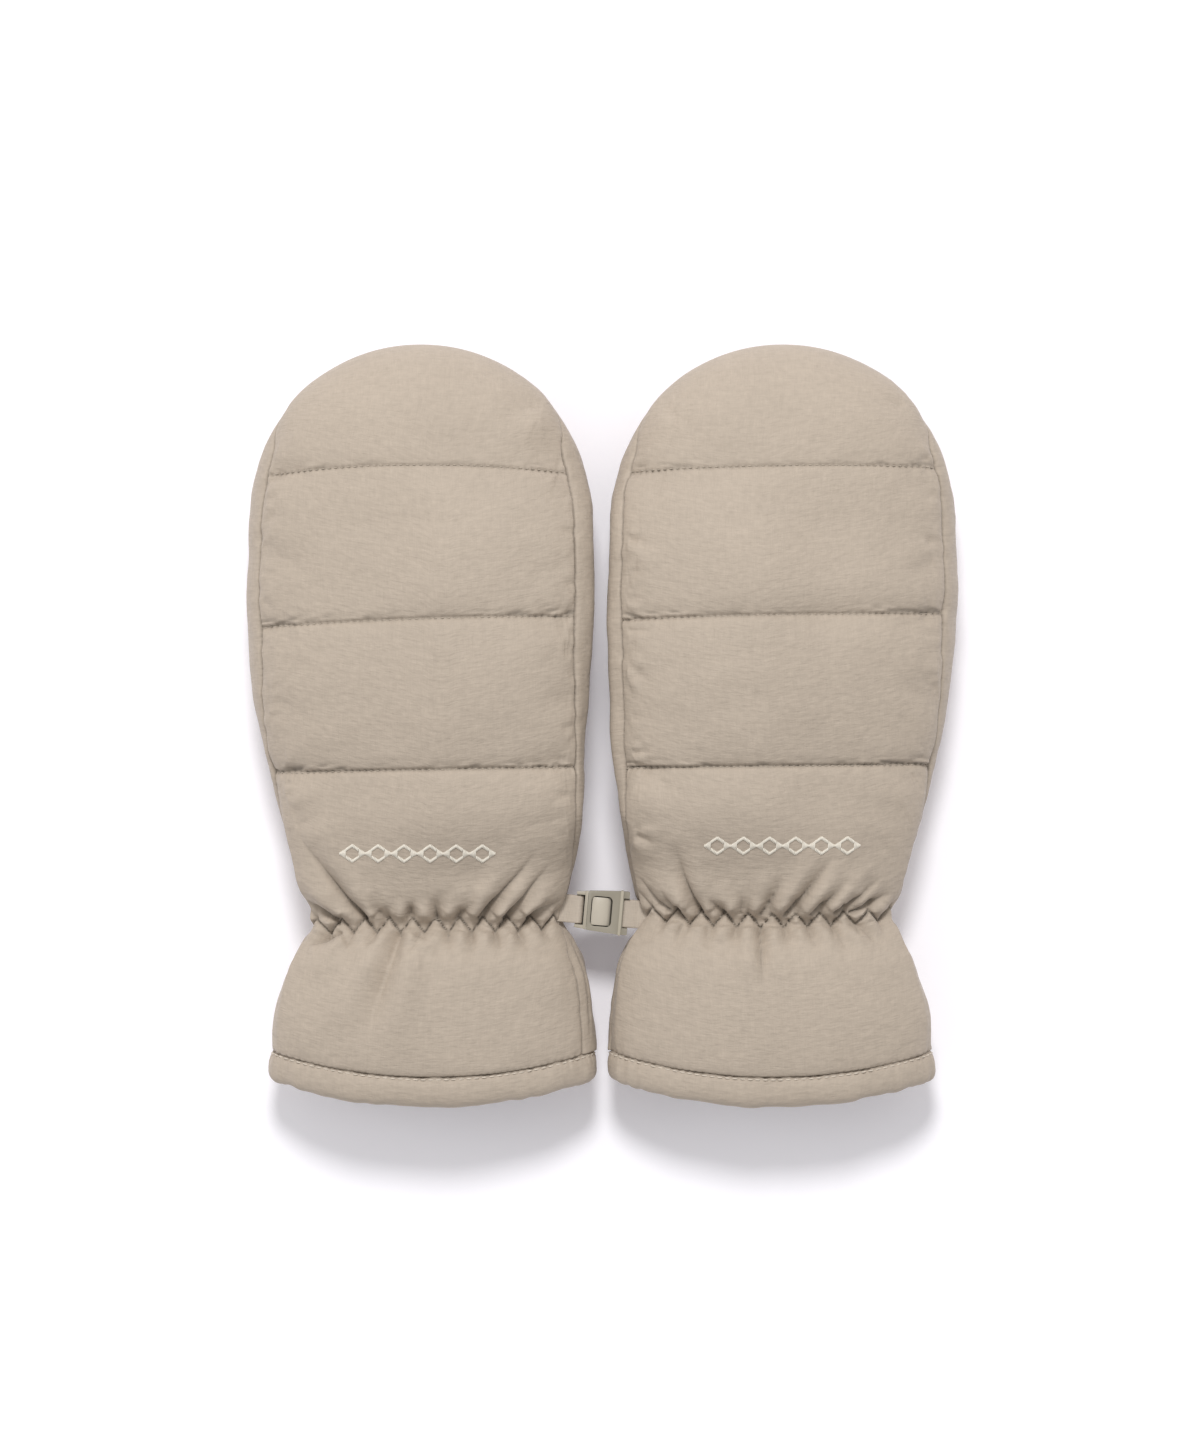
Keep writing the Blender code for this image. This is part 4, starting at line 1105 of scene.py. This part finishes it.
def make_plug():
    width = BUCKLE_HALF_WIDTH
    joined = [block((-0.0064, -0.00527), (-width, width), (-0.0026, 0.0028), 0.0003)]
    for way in (-1, 1):
        rail = sorted((way * RAIL_INNER, way * (width - 0.0002)))
        prong = sorted((way * 0.0053, way * 0.0062))
        joined.append(block((-BUCKLE_END, -0.0061), rail, (-0.0024, 0.0026), 0.0004))
        joined.append(block((-0.0059, 0.0051), prong, (-0.0016, 0.0012)))
    joined.append(block((0.0044, 0.0049), (-0.00575, 0.00575), (-0.0013, 0.0006)))
    # Two low plates under the slot, which the plug's painted shade darkens: they stand in for the shade where
    # the open slot would show the floor.
    joined.append(block((-BUCKLE_END + 0.0004, -0.0058), (-0.0065, 0.0065), (-0.0027, -0.0021)))
    joined.append(block((-0.0060, -0.0042), (-0.0062, 0.0062), (-0.0022, -0.0017)))
    joined.append(bar(-BAR_X))
    return moulded("plug", joined, [], 0.00022, PLUG_PLASTIC, plug_painted_shade)


def make_latch():
    """The spring tongue. Its domed free end is the push button."""
    half = RAIL_INNER - 0.0004
    profile = (
        (-0.0037, -0.0006), (-0.0037, 0.0026), (-0.0030, 0.0030), (-0.0015, 0.0031), (0.0002, 0.0030),
        (0.0016, 0.0026), (0.0027, 0.0019), (0.0033, 0.0009), (0.0036, 0.0003), (0.0041, 0.0002),
        (0.0041, -0.0009), (-0.0025, -0.0009),
    )
    shares = (1.0, 0.97, 0.9, 0.5, 0.0, -0.5, -0.9, -0.97, -1.0)
    grid = []
    for share in shares:
        droop = 0.00035 * max(0.0, abs(share) - 0.5) ** 2 / 0.25
        grid += [(x, half * share, z - droop if z > 0.001 else z) for x, z in profile]
    made = mesh_object("button", grid, turned(tube_faces(len(shares), len(profile))), None, BUTTON)
    set_painted_light(made.data, button_painted_shade)
    made.data.transform(BUCKLE_FRAME)
    made.data.set_sharp_from_angle(angle=math.radians(40))
    return made


# ---- camera, floor and lights
def make_camera():
    """A camera straight above the mittens."""
    distance, sensor, seen_height = 1.98, 24, 18 / 35
    camera = add_object("camera", bpy.data.cameras.new("camera"))
    camera.location = (-0.0007, 0.0015, distance + 0.020)
    camera.data.sensor_fit = "VERTICAL"
    camera.data.sensor_height = sensor
    camera.data.lens = sensor * distance / seen_height
    camera.data.clip_end = 60
    bpy.context.scene.camera = camera


def make_floor():
    paint = Paint("floor_paint", 0.9)
    paint.fill(paint.shader, {
        "Base Color": (0.90, 0.885, 0.92, 1),
        "Emission Color": (0.95, 0.92, 1.0, 1),
        "Emission Strength": 0.12,
    })
    corners = [(-25, -25, 0), (25, -25, 0), (25, 25, 0), (-25, 25, 0)]
    floor = mesh_object("floor", corners, [(0, 1, 2, 3)], material=paint.made)
    floor.location.z = -0.0004


def make_lights():
    """Three soft lights and an even sky."""
    lights = (
        ("key", (-0.08, 1.85, 2.60), 0.80, 64.0),
        ("side", (-2.10, 0.40, 1.25), 0.90, 7.0),
        ("other_side", (2.20, 0.10, 1.05), 0.90, 2.0),
    )
    for name, place, size, power in lights:
        light = add_object(name, bpy.data.lights.new(name, "AREA"))
        light.data.shape = "DISK"
        light.data.size = size
        light.data.energy = power
        light.location = place
        light.rotation_euler = Vector(place).to_track_quat("Z", "Y").to_euler()
    world = bpy.data.worlds.new("studio")
    world.use_nodes = True
    sky = world.node_tree.nodes["Background"].inputs
    sky["Color"].default_value = (1, 1, 1, 1)
    sky["Strength"].default_value = 0.58
    bpy.context.scene.world = world
    bpy.context.scene.view_settings.view_transform = "Standard"


# ---- materials
class Paint:
    """A Principled material and short ways to add nodes to it."""

    def __init__(self, name, roughness, specular=0.5):
        self.made = bpy.data.materials.new(name)
        self.made.use_nodes = True
        self.tree = self.made.node_tree
        self.shader = self.tree.nodes["Principled BSDF"]
        self.fill(self.shader, {"Roughness": roughness, "Specular IOR Level": specular})

    def value(self, socket, value):
        """Links an output to the socket, or sets a plain number on it."""
        if isinstance(value, bpy.types.NodeSocket):
            self.tree.links.new(value, socket)
        else:
            socket.default_value = value

    def fill(self, node, values):
        for name, value in values.items():
            self.value(node.inputs[name], value)

    def node(self, kind, values=None, **settings):
        made = self.tree.nodes.new(kind)
        for key, value in settings.items():
            setattr(made, key, value)
        self.fill(made, values or {})
        return made

    def coordinates(self, uv):
        if uv:
            return self.node("ShaderNodeUVMap", uv_map="cloth").outputs["UV"]
        return self.node("ShaderNodeTexCoord").outputs["Object"]

    def noise(self, place, cell, detail=2.0, rough=0.5):
        """Noise between 0 and 1. cell is its lump size, or one size for each axis, in metres."""
        sizes = (cell, cell, cell) if isinstance(cell, float) else cell
        mapping = self.node("ShaderNodeMapping", {"Scale": [1 / s for s in sizes], "Vector": place})
        texture = self.node("ShaderNodeTexNoise", {
            "Scale": 1.0, "Detail": detail, "Roughness": rough, "Vector": mapping.outputs["Vector"]})
        return texture.outputs["Fac"]

    def math(self, operation, a, b=0.0, c=0.0):
        made = self.node("ShaderNodeMath", operation=operation)
        for socket, value in zip(made.inputs, (a, b, c)):
            self.value(socket, value)
        return made.outputs["Value"]

    def attribute(self, name):
        return self.node("ShaderNodeAttribute", attribute_name=name).outputs["Fac"]

    def colour(self, colour, brightness):
        """The colour times a brightness that varies over the surface."""
        made = self.node("ShaderNodeVectorMath", {"Vector": colour, "Scale": brightness}, operation="SCALE")
        self.fill(self.shader, {"Base Color": made.outputs["Vector"]})

    def bump(self, height, distance, strength=1.0):
        made = self.node("ShaderNodeBump", {"Distance": distance, "Strength": strength, "Height": height})
        self.fill(self.shader, {"Normal": made.outputs["Normal"]})

    def sheen(self, weight, roughness=0.4):
        self.fill(self.shader, {"Sheen Weight": weight, "Sheen Roughness": roughness})


def woven_streaks(paint, place, thick, long):
    """Slubs of a plain weave: short streaks along and across the cloth, between 0 and 1."""
    along = paint.noise(place, (long, thick, thick))
    across = paint.noise(place, (thick, long, thick))
    return paint.math("MULTIPLY_ADD", paint.math("ADD", along, across), 0.5, 0.0)


def around_one(paint, value, amount):
    """A factor near 1 from a noise between 0 and 1."""
    return paint.math("MULTIPLY_ADD", value, 2 * amount, 1 - amount)


def cloth_material():
    """Taupe nylon of a fine plain weave, slightly crinkled."""
    paint = Paint("shell_cloth", 0.72, 0.35)
    place = paint.coordinates(uv=True)
    streaks = woven_streaks(paint, place, 0.00042, 0.0045)
    coarse = woven_streaks(paint, place, 0.0011, 0.013)
    blotches = paint.noise(place, 0.0026, 3.0)
    wide = paint.noise(place, 0.030, 2.0)
    brightness = around_one(paint, streaks, 0.16)
    for pattern, amount in ((blotches, 0.10), (coarse, 0.06), (wide, 0.05)):
        brightness = paint.math("MULTIPLY", brightness, around_one(paint, pattern, amount))
    # Painted shade: the groove attribute darkens the colour in seams, stitch holes and creases.
    dark = paint.math("MULTIPLY_ADD", paint.attribute("groove"), -0.62, 1.0)
    paint.colour((0.438, 0.368, 0.298), paint.math("MULTIPLY", brightness, dark))
    crinkle = paint.noise(place, (0.0040, 0.0016, 0.0030), 3.0)
    height = paint.math("MULTIPLY_ADD", streaks, 0.40, paint.math("MULTIPLY", crinkle, 0.9))
    paint.bump(height, 0.00045, 0.9)
    paint.sheen(0.12)
    return paint.made


def fleece_material():
    """Brushed fleece of the lining."""
    paint = Paint("lining_fleece", 0.95, 0.2)
    place = paint.coordinates(uv=True)
    tufts = paint.noise(place, 0.0011, 4.0, 0.65)
    paint.colour((0.36, 0.315, 0.26), around_one(paint, tufts, 0.22))
    paint.bump(tufts, 0.0009, 1.0)
    paint.sheen(0.6, 0.6)
    return paint.made


def webbing_material():
    """Narrow woven tape: ribs across it and fine threads along it."""
    paint = Paint("webbing_tape", 0.8, 0.3)
    place = paint.coordinates(uv=True)
    ribs = paint.noise(place, (0.00045, 0.0030, 0.001), 1.0)
    threads = paint.noise(place, (0.0040, 0.00035, 0.001), 1.0)
    weave = paint.math("MULTIPLY_ADD", paint.math("ADD", ribs, threads), 0.5, 0.0)
    paint.colour((0.510, 0.440, 0.365), around_one(paint, weave, 0.20))
    paint.bump(weave, 0.00018, 0.8)
    return paint.made


def thread_material(name, colour, variation):
    paint = Paint(name, 0.55, 0.4)
    place = paint.coordinates(uv=False)
    paint.colour(colour, around_one(paint, paint.noise(place, 0.0012, 2.0), variation))
    paint.sheen(0.2)
    return paint.made


def plastic_material(name, colour):
    """Moulded acetal with a very fine grain."""
    paint = Paint(name, 0.42, 0.5)
    place = paint.coordinates(uv=False)
    grain = paint.noise(place, 0.00025, 3.0)
    # Painted light from the vertices: shade in the buckle's recesses and a highlight on the socket's ridge.
    painted_light = paint.math("MULTIPLY_ADD", paint.attribute("painted_light"), 1.0, 1.0)
    clouds = around_one(paint, paint.noise(place, 0.004, 2.0), 0.05)
    paint.colour(colour, paint.math("MULTIPLY", clouds, painted_light))
    paint.bump(grain, 0.00004, 0.5)
    return paint.made


CLOTH = cloth_material()
FLEECE = fleece_material()
WEBBING = webbing_material()
PLASTIC = plastic_material("buckle_plastic", (0.290, 0.260, 0.205))
PLUG_PLASTIC = plastic_material("plug_plastic", (0.420, 0.375, 0.300))
BUTTON = plastic_material("button_plastic", (0.500, 0.450, 0.370))
THREAD_PAINT = thread_material("sewing_thread", (0.400, 0.340, 0.275), 0.25)
WRIST_PAINT = thread_material("wrist_thread", (0.190, 0.155, 0.120), 0.35)
HEM_PAINT = thread_material("hem_thread", (0.600, 0.525, 0.440), 0.25)
CREAM = thread_material("embroidery_thread", (0.735, 0.685, 0.600), 0.05)


# ---- the two mittens
def sew(side):
    """All the stitching of one mitten, dropped onto its finished back."""
    back = bpy.data.objects[f"{side}_back"].data
    tree = BVHTree.FromPolygons([v.co for v in back.vertices], [p.vertices for p in back.polygons])
    for number, line in enumerate(QUILT_YS):
        stitches = row_stitches(tree, side, line)
        row = stitched(f"quilt_stitches_{number + 1}", side, stitches, THREAD_RADIUS, THREAD_PAINT)
        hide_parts(f"{side}_quilt_thread_{number + 1}")
        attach(row, f"{side}_mitten")
    zigzag = stitched("wrist_stitches", side, zigzag_stitches(tree, side), THREAD_RADIUS, WRIST_PAINT)
    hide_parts(f"{side}_wrist_thread")
    motif = stitched("embroidery", side, motif_threads(tree, side), 0.00027, CREAM, lift=0.9)
    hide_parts(f"{side}_embroidered_motif")
    hem = stitched("hem_stitches", side, hem_stitches(side), 0.00029, HEM_PAINT)
    for piece, slot in ((zigzag, "thread"), (motif, "embroidery"), (hem, "thread")):
        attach(piece, f"{side}_mitten")


def dress(side):
    """Every soft piece of one mitten, with the CAD nodes that it stands for."""
    fixed = (
        (make_back(side), "shell_fabric", ("back_shell", "side_gusset", "back_padding", "wrist_elastic")),
        (make_palm(side), "shell_fabric", ("palm_shell", "palm_padding")),
        (make_hem(side), "shell_fabric", ("hem_band",)),
        (make_lining(side), "fleece", ("back_lining", "palm_lining")),
    )
    for piece, slot, nodes in fixed:
        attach(piece, f"{side}_mitten")
        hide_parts(*(f"{side}_{node}" for node in nodes))
    sew(side)
    dress_thumb(side)
    strap = make_strap(side)
    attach(strap, "buckle_plug" if side == "left" else "buckle_socket")
    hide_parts(f"{side}_strap")


def dress_thumb(side):
    """Both layers of one thumb, and the neck of cloth into the palm."""
    outer = thumb_layer("thumb", side, 0.0, 0.0008, CLOTH)
    inner = thumb_layer("thumb_lining", side, 0.0042, 0.0004, FLEECE)
    neck = make_neck(side)
    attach(neck, f"{side}_mitten")
    for piece, slot, nodes in (
        (outer, "shell_fabric", ("thumb_base_shell", "thumb_shell", "thumb_base_padding", "thumb_padding")),
        (inner, "fleece", ("thumb_base_lining", "thumb_lining")),
    ):
        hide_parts(*(f"{side}_{node}" for node in nodes))
        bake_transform(piece)


make_camera()
make_floor()
make_lights()
for side in SIDES:
    dress(side)
for piece, node, body in (
    (make_socket(), "buckle_socket", "buckle_socket"),
    (make_plug(), "buckle_plug", "buckle_plug"),
    (make_latch(), "buckle_latch", "latch"),
):
    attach(piece, body)
    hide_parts(node)
